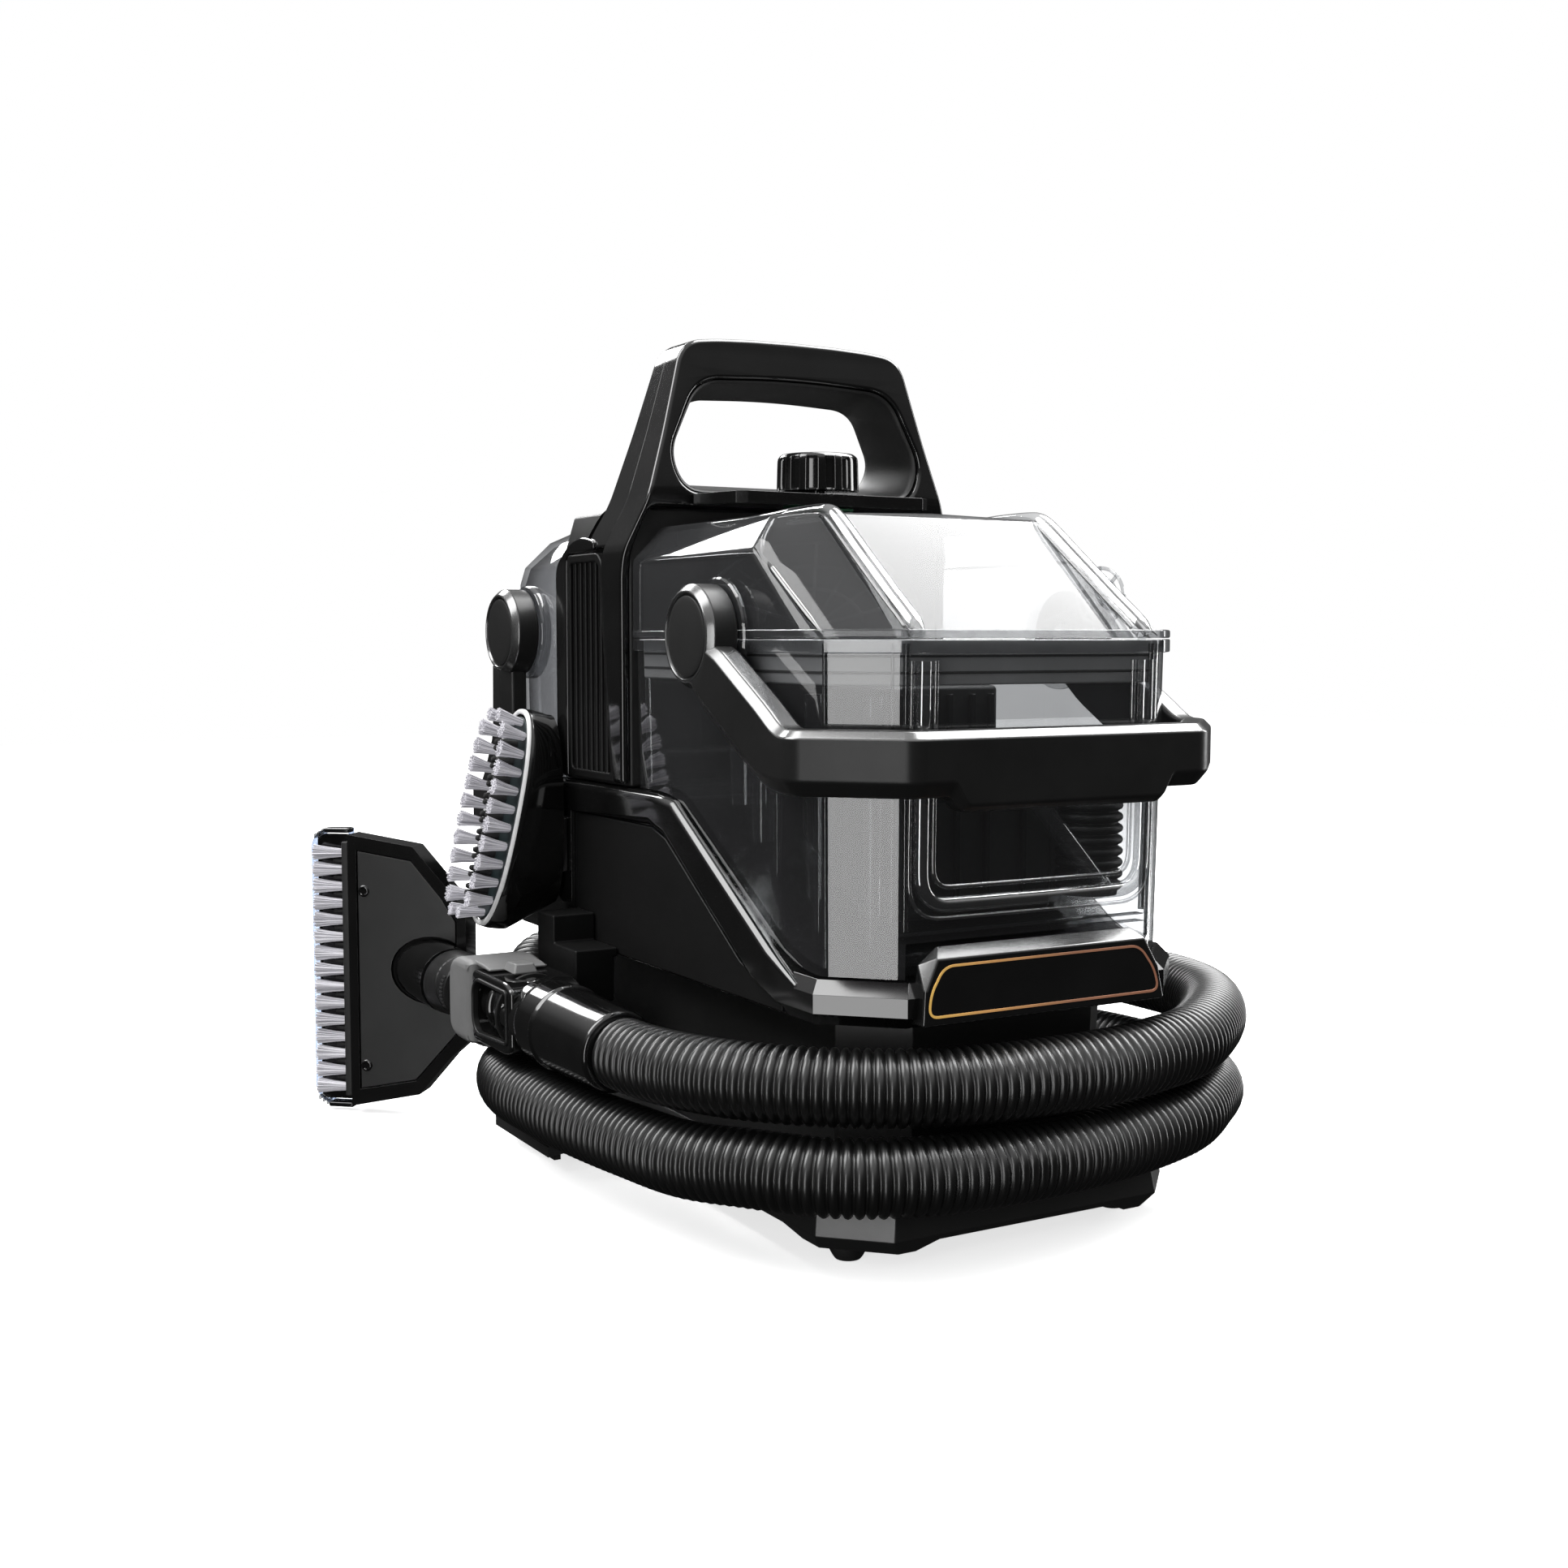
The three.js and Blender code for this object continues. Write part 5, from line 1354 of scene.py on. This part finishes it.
def fill_cap():
    """Knurled cap with a raised bar across its recess."""
    y = 133

    def knurl(angle, t, r):
        if not (6.9 < t < 13.3) or r < 17:
            return r
        return r - 0.9 * max(0, math.cos(24 * angle)) ** 2 * min(1, (13.3 - t) / 1.2)

    profile = [
        (0, 0), (0, 12.8), (0.8, 13.5), (6.4, 13.5), (6.5, 18.0), (7.0, 18.8), (9, 18.9),
        (11, 18.9), (12.4, 18.7), (13.6, 17.9), (14.3, 16.6), (14.4, 15.2), (14.0, 14.4),
        (12.6, 13.6), (12.2, 12.0), (12.1, 0),
    ]
    cap = lathe((0, y, 316.6), UP, profile, 192, knurl)
    bar = round_hull([(x, y + sign * 1.6, z) for x in (-12.6, 12.6) for sign in (-1, 1)
                      for z in (328.0, 329.4)], 1.4, 3)
    skin(joined(cap, bar), "fill_cap", "matte", "cap")


rear_tank()
refined("tank_valve", "white", "clean_tank", 0.6, 2)
fill_cap()
rear_bail()

# ---------------------------------------------------------------- hose
# Centre line (x, y, z): an upper turn near z = 79, then a lower one near z = 41
HOSE = [
    (-136.2, -70, 78), (-134.5, -88, 78), (-129, -114, 78.5), (-117, -142, 79), (-94, -169, 79),
    (-66, -188, 79), (-30, -199, 79), (4, -201, 79), (38, -199, 79), (68, -191.5, 79),
    (96, -181, 79), (143, -145, 79), (170.5, -111, 79), (182, -80, 79), (183.8, -45, 79),
    (182, -5, 79), (176, 40, 79), (162, 85, 79), (140, 124, 79), (108, 158, 79), (70, 180, 79),
    (30, 187, 79), (-10, 188, 79), (-46, 186.5, 79), (-74, 175, 76), (-90, 153, 66),
    (-96, 132, 55), (-105, 113, 46.5), (-120, 94, 41), (-137, 66, 41), (-145, 38, 41),
    (-145.5, 0, 41), (-143, -38, 41), (-137, -80, 41), (-130, -122, 42), (-116, -152, 43.8),
    (-96, -178, 43.8), (-70, -193.5, 43.8), (-36, -200.6, 43.8), (4, -201, 43.8),
    (40, -196.5, 43.8), (70, -189, 43.8), (96, -179, 43.8), (122, -161, 43.8), (150, -137, 42),
    (168, -110, 41), (176, -78, 41), (177, -42, 41), (170, -8, 41), (156, 24, 41),
    (136, 48, 42), (116, 58.5, 45), (98, 60, 45.5),
]
HOSE_RIB_PITCH = 4.6
HOSE_RIB = [14.2, 15.3, 16.0, 16.33, 16.42, 16.33, 16.0, 15.3]    # radii along one rib
HOSE_MAX_X, HOSE_MIN_Y = 200.4, -217.1


def hose():
    ribs = round(spline(HOSE)[1][-1] / HOSE_RIB_PITCH)
    path = curve(HOSE, ribs * len(HOSE_RIB))
    obj = sweep(path, [HOSE_RIB[i % len(HOSE_RIB)] for i in range(len(path))], 28)
    for v in obj.data.vertices:
        v.co.x, v.co.y = min(v.co.x, HOSE_MAX_X), max(v.co.y, HOSE_MIN_Y)
    skin(obj, "hose", "hose", "machine", weighted=False, sharp=180)


def hose_port():
    skin(lathe((66, 60, 45.5), (1, 0, 0), [
        (0, 10), (0, 12.2), (6.6, 12.2), (6.8, 17.0), (7.6, 18.1), (10, 18.3), (14, 18.2),
        (14.6, 17.5), (15.4, 17.5), (16, 18.2), (20, 18.2), (20.6, 17.5), (21.4, 17.5),
        (22, 18.2), (26.4, 18.0), (27.6, 17.0), (27.9, 15.6), (27.9, 10.2),
    ], 96), "hose_port", "gloss", "machine")


def hose_cuff():
    start, end = Vector((-136.5, -68.6, 78)), Vector((-141, 3, 80.5))
    skin(lathe(start, end - start, [
        (0, 12), (0, 17.0), (0.8, 18.2), (2.4, 18.8), (18, 19.2), (48.4, 19.9), (49.6, 20.1),
        (50.2, 20.7), (51.0, 20.9), (51.7, 20.7), (52.2, 20.1), (52.8, 19.8), (66, 19.9),
        (69.5, 19.5), (71.0, 18.9), (71.7, 17.6), (71.7, 12),
    ], 96), "hose_cuff", "gloss", "machine")


hose()
hose_port()
hose_cuff()


# ---------------------------------------------------------------- hose grip
def grip_body():
    """Frame with a window through it, and a rim round the window. Outlines are (y, z)."""
    outline = rounded([(5, 66), (5, 95), (13, 98.2), (57.4, 98.2), (57.4, 63), (13, 63)],
                      [3, 3, 6, 4, 4, 6], 6)
    window = rounded([(9.5, 69.5), (49.5, 67.6), (54.4, 73), (54.4, 88.6), (49, 93.6),
                      (9.5, 93)], [2.5, 7, 7, 7, 7, 2.5], 7)
    skin(slab(outline, "x", -159.6, -122.4, 2.0, holes=[window]), "grip_body", "gloss", "machine")
    outer = rounded([(9.4, 67.9), (50.3, 66.0), (56.0, 72.2), (56.0, 89.4), (49.9, 95.2),
                     (9.4, 94.7)], [3, 8, 8, 8, 8, 3], 7)
    inner = rounded([(10.4, 69.8), (49.5, 68.0), (54.2, 73.2), (54.2, 88.5), (49, 93.3),
                     (10.4, 92.7)], [2.5, 7, 7, 7, 7, 2.5], 7)
    piece(slab(outer, "x", -160.6, -157.0, 0.8, holes=[inner]), "grip_window_rim", "satin",
          "machine")


def grip_barrel():
    along = Vector((-0.06, 1, 0.02)).normalized()
    origin = Vector((-141.0, 0, 80.5))

    def scallop(angle, t, r):
        return r - 1.5 * max(0, math.cos(9 * angle)) ** 2 if 11.9 < t < 19.8 and r > 11 else r

    profile = [
        (0, 10), (0, 18.4), (8.6, 18.5), (9.2, 17.9), (9.8, 17.0), (11.2, 16.8), (12, 17.6),
        (12.6, 18.0), (19.2, 18.0), (19.8, 17.4), (20.2, 16.9), (23.0, 16.9), (23.6, 15.6),
        (26, 15.0), (38.8, 13.6), (39.4, 14.6), (40.0, 15.0), (41.6, 15.0), (42.2, 14.4),
        (42.6, 12.8), (46, 12.4), (53.5, 12.2), (53.6, 0),
    ]
    piece(lathe(origin, along, profile, 108, scallop), "grip_barrel", "gloss", "machine")
    ring = [(0, 16.6), (0, 18.9), (0.5, 19.3), (1.3, 19.3), (1.8, 18.9), (1.8, 16.6)]
    piece(lathe(origin + along * 20.6, along, ring, 96), "grip_barrel_ring", "satin", "machine")


def grip_pad():
    """Palm pad: a swollen cushion behind the window, with a thin tail along top and bottom."""
    outline = rounded(
        [(57.8, 60.6), (57.8, 100.6), (62, 101.6), (76, 101.6), (84, 99.8), (88, 95), (89, 88),
         (89, 70), (87.6, 64), (83, 60.4), (76, 59.2), (62, 59.2)],
        [1, 1, 4, 8, 8, 8, 8, 8, 8, 8, 6, 4], 6)
    parts = [slab(outline, "x", -161, -122, 4.2, steps=6)]
    for tail in (
        [(41, 98.9), (41, 99.8), (47, 101.0), (60, 101.5), (66, 101.5), (66, 98.9)],
        [(43, 62.2), (43, 60.9), (50, 59.6), (60, 59.0), (66, 59.0), (66, 62.2)],
    ):
        parts.append(slab(rounded(tail, [0.3, 1, 4, 4, 1, 0.3], 4), "x", -156.5, -126, 0.9))
    skin(joined(*parts), "grip_overmould", "grip", "machine")


def grip_neck():
    """Neck behind the pad, with a stepped parting line and a comb of fine grip ribs."""
    start, end = Vector((-147.5, 89.2, 81)), Vector((-148.4, 116.6, 81))

    def parting(angle, t, r):
        return r - 0.45 if abs(t - 9.0 - 3.0 * math.sin(2 * angle)) < 0.55 and r > 12 else r

    profile = [(0, 10), (0, 15.4), (1.2, 15.9)]
    profile += [(2 + 0.42 * k, 15.95 + 0.018 * k) for k in range(48)]
    profile += [(24.2, 17.0), (25.8, 17.0), (26.6, 16.5), (26.8, 10)]
    parts = [lathe(start, end - start, profile, 96, parting)]
    for i in range(9):
        w = math.radians(152 + i * 7)
        root = start + Vector((15.9 * math.cos(w), 0.6, 15.9 * math.sin(w)))
        parts.append(rod(root, root + Vector((0, 3.6, 0)), 0.75, 10))
    skin(joined(*parts), "grip_neck", "satin", "machine")


grip_body()
grip_barrel()
grip_pad()
grip_neck()

# ---------------------------------------------------------------- small fittings and inside
for row in (
    # node, material, body, bevel width, bevel segments
    ("spray_trigger", "satin", "trigger", 0.8, 3),
    ("release_button", "button", "release", 1.1, 3),
    ("tool_dock", "panel", "machine", 1.6, 3),
    ("brush_clip", "matte", "machine", 0.6, 3),
    ("hose_rest_tab", "matte", "machine", 1.2, 3),
    ("motor_housing", "metal", "machine", 0.5, 2),
    ("air_duct", "matte", "machine", 0.5, 2),
    ("pump_body", "white", "machine", 0.5, 2),
    ("steam_boiler", "metal", "machine", 0.5, 2),
    ("circuit_board", "board", "machine", 0.5, 2),
    ("motor_rotor", "metal", "rotor", 0.5, 2),
    ("motor_fan", "gasket", "rotor", 0.5, 2),
    ("pump_plunger", "metal", "plunger", 0.5, 2),
):
    refined(*row)


# ---------------------------------------------------------------- bristles
def filaments(tufts, per_tuft, seed, thick):
    """Each tuft is (root centre, root half axes u and v, direction, length, splay)."""
    rng = random.Random(seed)
    sides = 5
    verts, faces = [], []
    for root, u, v, direction, length, splay in tufts:
        root, u, v = Vector(root), Vector(u), Vector(v)
        direction = Vector(direction).normalized()
        for k in range(per_tuft):
            # sunflower spread over the root
            r, a = math.sqrt((k + 0.5) / per_tuft), k * 2.39996 + rng.uniform(-0.2, 0.2)
            p = root + u * r * math.cos(a) + v * r * math.sin(a)
            tip = (root + direction * (length * rng.uniform(0.96, 1.0))
                   + (u * r * math.cos(a) + v * r * math.sin(a)) * splay
                   + Vector((rng.uniform(-1, 1), rng.uniform(-1, 1), rng.uniform(-1, 1))) * 0.12)
            bow = (u * math.cos(a) + v * math.sin(a)) * r * (splay - 1) * -0.12
            _, across, third = axes_of((tip - p).normalized())
            base = len(verts)
            for q, w in ((p, thick), ((p + tip) * 0.5 + bow, thick * 1.05), (tip, thick * 0.9)):
                for j in range(sides):
                    turn = 2 * math.pi * j / sides
                    verts.append(q + (across * math.cos(turn) + third * math.sin(turn)) * w)
            for ring in (base, base + sides):
                for j in range(sides):
                    after = (j + 1) % sides
                    faces.append([ring + j, ring + after, ring + sides + after, ring + sides + j])
            faces.append([base + j for j in range(sides)][::-1])
            faces.append([base + 2 * sides + j for j in range(sides)])
    mesh = bpy.data.meshes.new("tmp")
    mesh.from_pydata([tuple(v) for v in verts], [], faces)
    return obj_from_mesh(mesh)


# ---------------------------------------------------------------- wide tool
# Its own axes: s along the tool's face, n across it, z upright
WIDE_X, WIDE_Y = -146, 160
WIDE_ANGLE = math.radians(50)
TUFT_START, TUFT_PITCH = 13.5, 9.35


def wide(s, n, z):
    return (WIDE_X - math.sin(WIDE_ANGLE) * s + math.cos(WIDE_ANGLE) * n,
            WIDE_Y + math.cos(WIDE_ANGLE) * s + math.sin(WIDE_ANGLE) * n, z)


WIDE_S = (Vector(wide(1, 0, 0)) - Vector(wide(0, 0, 0))).normalized()
WIDE_N = (Vector(wide(0, 1, 0)) - Vector(wide(0, 0, 0))).normalized()


def wide_slab(name, material, outline, n_range, rim, holes=(), replaces=None):
    """A plate whose outline is in (s, z)."""
    obj = slab(outline, "x", *n_range, rim, holes=holes)
    for v in obj.data.vertices:
        n, s, z = v.co
        v.co = wide(s, n, z)
    piece(obj, name, material, "wide_tool", replaces=replaces, weighted=False)


def wide_plate(name, material, s_range, z_range, n_range, corner, rim):
    wide_slab(name, material, rounded(rect(*s_range, *z_range), corner, 4), n_range, rim)


def wide_screws():
    profile = [(0, 0), (0, 3.2), (0.5, 3.2), (0.9, 2.8), (1.0, 2.2), (0.35, 1.7), (0.3, 0)]
    for i, z in enumerate((27, 124)):
        screw = lathe(wide(34.5, -7.6, z), -WIDE_N, profile, 40)
        piece(screw, f"wide_tool_screw_{i}", "gloss", "wide_tool")


def wide_brush_mount():
    strip = loft([[wide(s, n, z) for s, z in rect(44, 48, 8.8, 150.8)] for n in (-6.3, 1.3)])
    piece(bevel(strip, 0.8, 3), "wide_tool_brush_strip", "matte", "wide_tool")
    wide_plate("wide_tool_brush_back", "gloss", (44, 65.4), (5.2, 154.2), (2.0, 4.3), 2.0, 0.6)
    for i in range(14):
        z = TUFT_START + TUFT_PITCH * (i + 0.5)
        wide_plate(f"wide_tool_comb_{i:02d}", "matte", (47.6, 55.0), (z - 0.9, z + 0.9),
                   (-1.4, 2.2), 0.5, 0.3)


def wide_lip():
    outer = rounded([(44.4, 1.8), (61, 1.8), (68.8, 8.2), (68.8, 151.0), (61, 157.8),
                     (44.4, 157.8)], [1, 5, 6, 6, 5, 1], 6)
    inner = rounded([(46.6, 4.6), (60.4, 4.6), (66.2, 9.8), (66.2, 149.6), (60.4, 155.0),
                     (46.6, 155.0)], [1, 4, 4, 4, 4, 1], 6)
    wide_slab("wide_tool_lip", "clear_blue", outer, (0.8, 4.8), 0.8, [inner],
              "wide_tool_nozzle")


def wide_ends():
    """End plates, each with three short ribs stepping inwards."""
    for z0, z1, end in ((1.6, 4.4, "bottom"), (155.2, 158.0, "top")):
        wide_plate("wide_tool_end_" + end, "gloss", (44.8, 59.5), (z0, z1), (-3.2, 4.9), 1.2, 1.0)
        for i in range(3):
            step = i * 1.3
            if end == "bottom":
                z_range = (z0 + 0.8 + step, z0 + 3.4 + step)
            else:
                z_range = (z1 - 3.4 - step, z1 - 0.8 - step)
            wide_plate(f"wide_tool_end_rib_{end}_{i}", "clear_line",
                       (60.4 + i * 2.2, 61.6 + i * 2.2), z_range, (-1.8, 4.4), 0.5, 0.4)


def wide_bristles():
    tufts = []
    for i in range(15):
        root = wide(47.4, -2.9, TUFT_START + i * TUFT_PITCH)
        tufts.append((root, WIDE_N * 1.7, (0, 0, 2.0), WIDE_S, 18.0, 2.15))
    bristles = filaments(tufts, per_tuft=84, seed=4, thick=0.34)
    skin(bristles, "wide_tool_bristles", "bristle", "wide_tool", weighted=False, sharp=60)


refined("wide_tool_body", "gloss", "wide_tool", 2.2, 4, angle=26)
refined("wide_tool_plate", "nozzle_face", "wide_tool", 0.5, 3, angle=26)
wide_screws()
wide_brush_mount()
wide_lip()
wide_ends()
wide_bristles()

# ---------------------------------------------------------------- oval brush tool
# Its own axes: e along the oval, y across it, w out of its face
OVAL_E, OVAL_W = Vector((0.222, 0, 0.975)), Vector((-0.975, 0, 0.222))
OVAL_CENTER = Vector((-127, 98.5, 169))


def oval_at(e, y, w):
    return OVAL_CENTER + OVAL_E * e + OVAL_W * w + Vector((0, y, 0))


def superoval(a, b):
    out = []
    for i in range(72):
        t = 2 * math.pi * i / 72
        c, s = math.cos(t), math.sin(t)
        out.append((math.copysign(a * abs(c) ** 0.85, c), math.copysign(b * abs(s) ** 0.85, s)))
    return out


def oval_rings(*sizes):
    """One ring for each (half length, half width, w)."""
    return [[tuple(oval_at(e, y, w)) for e, y in superoval(a, b)] for a, b, w in sizes]


def oval_body():
    rings = oval_rings(
        (53.6, 21.2, -1.6), (54.4, 21.8, -0.4), (55.2, 22.4, 0.6), (56.0, 23.2, 0.7),
        (57.2, 24.3, 0.1), (57.9, 24.9, -1.2), (58.2, 25.1, -3.5), (58.1, 25.0, -6),
        (57.9, 24.5, -10))
    # the back is held off the machine's side
    back = [oval_at(e, y, -13) for e, y in superoval(57.4, 23.4)]
    rings.append([(min(-99.4, p.x), p.y, p.z) for p in back])
    rings.append([(-99.1, OVAL_CENTER.y + y, OVAL_CENTER.z + 3 + e)
                  for e, y in superoval(50, 18)])
    skin(loft(rings), "oval_tool_body", "gloss", "oval_tool", weighted=False, sharp=50)
    face = oval_rings((53.4, 21.0, -1.4), (53.4, 21.0, 0.4), (52.6, 20.4, 1.0), (30, 10, 1.3))
    piece(loft(face), "oval_tool_face", "teal", "oval_tool")
    # light grey ring round the face: painted highlight on the rim
    rim = oval_rings((54.9, 22.2, 0.0), (55.1, 22.4, 0.9), (55.8, 22.9, 1.3),
                     (56.9, 23.8, 1.2), (57.6, 24.5, 0.5), (57.7, 24.6, -0.3))
    piece(loft(rim, closed=True), "oval_tool_rim", "rim", "oval_tool")


def oval_brush():
    """Tufts round the oval, leaning outwards, and rubber nubs down its middle."""
    count, length = 10, 86.4
    tufts, nubs = [], []
    for i in range(count):
        e = -43.2 + i * length / (count - 1)
        half = 21.2 * (1 - (abs(e) / 56) ** 2.6) ** (1 / 2.6)
        for sign in (-1, 1):
            lean = OVAL_W + Vector((0, 0.16 * sign, 0)) + OVAL_E * (0.10 * e / 50)
            root = oval_at(e, sign * (half - 4.2), 0.8)
            tufts.append((root, OVAL_E * 1.85, (0, 1.85, 0), lean, 15, 2.35))
            if i < count - 1:
                nubs += [(e + 4.8, sign * 3.6), (e + 1.4, sign * 3.2)]
    for e in (50.2, -50.2):
        for y in (-5.0, 5.0):
            lean = OVAL_W + OVAL_E * (0.12 if e > 0 else -0.12) + Vector((0, 0.1 * y / 7, 0))
            tufts.append((oval_at(e, y, 0.8), OVAL_E * 1.6, (0, 1.6, 0), lean, 15, 2.1))
    bristles = filaments(tufts, per_tuft=80, seed=9, thick=0.36)
    skin(bristles, "oval_tool_bristles", "bristle", "oval_tool", weighted=False, sharp=60)
    profile = [(0, 0), (0, 2.3), (3, 2.0), (8.4, 1.6), (9.6, 1.1), (9.9, 0)]
    parts = [lathe(oval_at(e, y, 0.6), OVAL_W, profile, 20) for e, y in nubs]
    piece(joined(*parts), "oval_tool_nubs", "rubber", "oval_tool")


oval_body()
oval_brush()


# ---------------------------------------------------------------- stage, light and camera
def world():
    """White to the camera; to everything else dark below and bright overhead."""
    scene.world = bpy.data.worlds.new("studio")
    shader = Shader(scene.world, "OutputWorld")
    direction = shader.node("TexCoord").outputs["Generated"]
    z = shader.node("SeparateXYZ", {0: direction}).outputs["Z"]
    height = shader.remap(z, 0, 1, from_low=-1, from_high=1)
    sky = shader.ramp(height, [(0.0, 0.02), (0.46, 0.03), (0.58, 0.04), (0.68, 0.2),
                               (0.80, 0.8), (1.0, 1.1)])
    lighting = shader.node("Background", {"Color": sky, "Strength": 1.0})
    backdrop = shader.node("Background", {"Color": (1, 1, 1), "Strength": 1.0})
    camera_ray = shader.node("LightPath").outputs["Is Camera Ray"]
    shader.surface(shader.node("MixShader", {
        0: camera_ray, 1: lighting.outputs[0], 2: backdrop.outputs[0]}))


# name, place, aim, width, height (metres), power (watts)
LIGHTS = (
    ("soft_top", (0.75, -0.05, 1.45), (0, -0.02, 0.2), 1.3, 1.3, 52),
    ("soft_left_top", (-0.88, 0.26, 1.32), (0, 0, 0.2), 0.85, 1.15, 21),
    ("strip_left", (-1.41, -1.09, 0.12), (0, -0.08, 0.12), 0.46, 1.5, 9.5),
    ("strip_right", (1.6, -0.2, 0.5), (0, 0, 0.25), 0.3, 1.4, 10),
    ("rear_rim", (-0.08, 1.7, 1.32), (0, 0, 0.28), 0.9, 0.6, 22),
)


def area_light(name, location, aim, width, height, power):
    light = bpy.data.lights.new(name, "AREA")
    light.shape = "RECTANGLE"
    light.size, light.size_y = width, height
    light.energy = power
    obj = bpy.data.objects.new(name, light)
    obj.location = location
    obj.rotation_euler = (Vector(aim) - Vector(location)).to_track_quat("-Z", "Y").to_euler()
    scene.collection.objects.link(obj)
    obj.visible_camera = False


def floor():
    """Pale, slightly glowing ground that only the camera sees."""
    corners = [(x, y, -0.3) for x, y in rect(-4000, 4000, -4000, 4000)]
    obj = mesh_from(corners, [[0, 1, 2, 3]], "floor")
    obj.data.transform(Matrix.Scale(MM, 4))
    shader = Shader(bpy.data.materials.new("pale_floor"))
    specks = shader.noise(scale=60, detail=4, roughness=0.6)
    color = shader.ramp(specks, [(0.3, 0.90), (0.7, 0.94)])
    diffuse = shader.node("BsdfDiffuse", {"Color": color})
    glow = shader.node("Emission", {"Strength": 0.72})
    unseen = shader.node("BsdfTransparent")
    ground = shader.node("AddShader", {0: glow.outputs[0], 1: diffuse.outputs[0]})
    camera_ray = shader.node("LightPath").outputs["Is Camera Ray"]
    shader.surface(shader.node("MixShader", {
        0: camera_ray, 1: unseen.outputs[0], 2: ground.outputs[0]}))
    obj.data.materials.append(shader.owner)


def camera():
    pitch_down, yaw_right = math.radians(4.55), math.radians(29.9)
    lens = bpy.data.cameras.new("camera")
    lens.lens, lens.sensor_width, lens.sensor_fit = 41.94, 36.0, "AUTO"
    obj = bpy.data.objects.new("camera", lens)
    obj.location = (-0.473, -0.800, 0.262)
    obj.rotation_euler = (math.pi / 2 - pitch_down, 0, -yaw_right)
    scene.collection.objects.link(obj)
    scene.camera = obj


world()
for row in LIGHTS:
    area_light(*row)
floor()
camera()
scene.view_settings.view_transform = "Standard"
scene.cycles.use_denoising = True
scene.cycles.transparent_max_bounces = 24
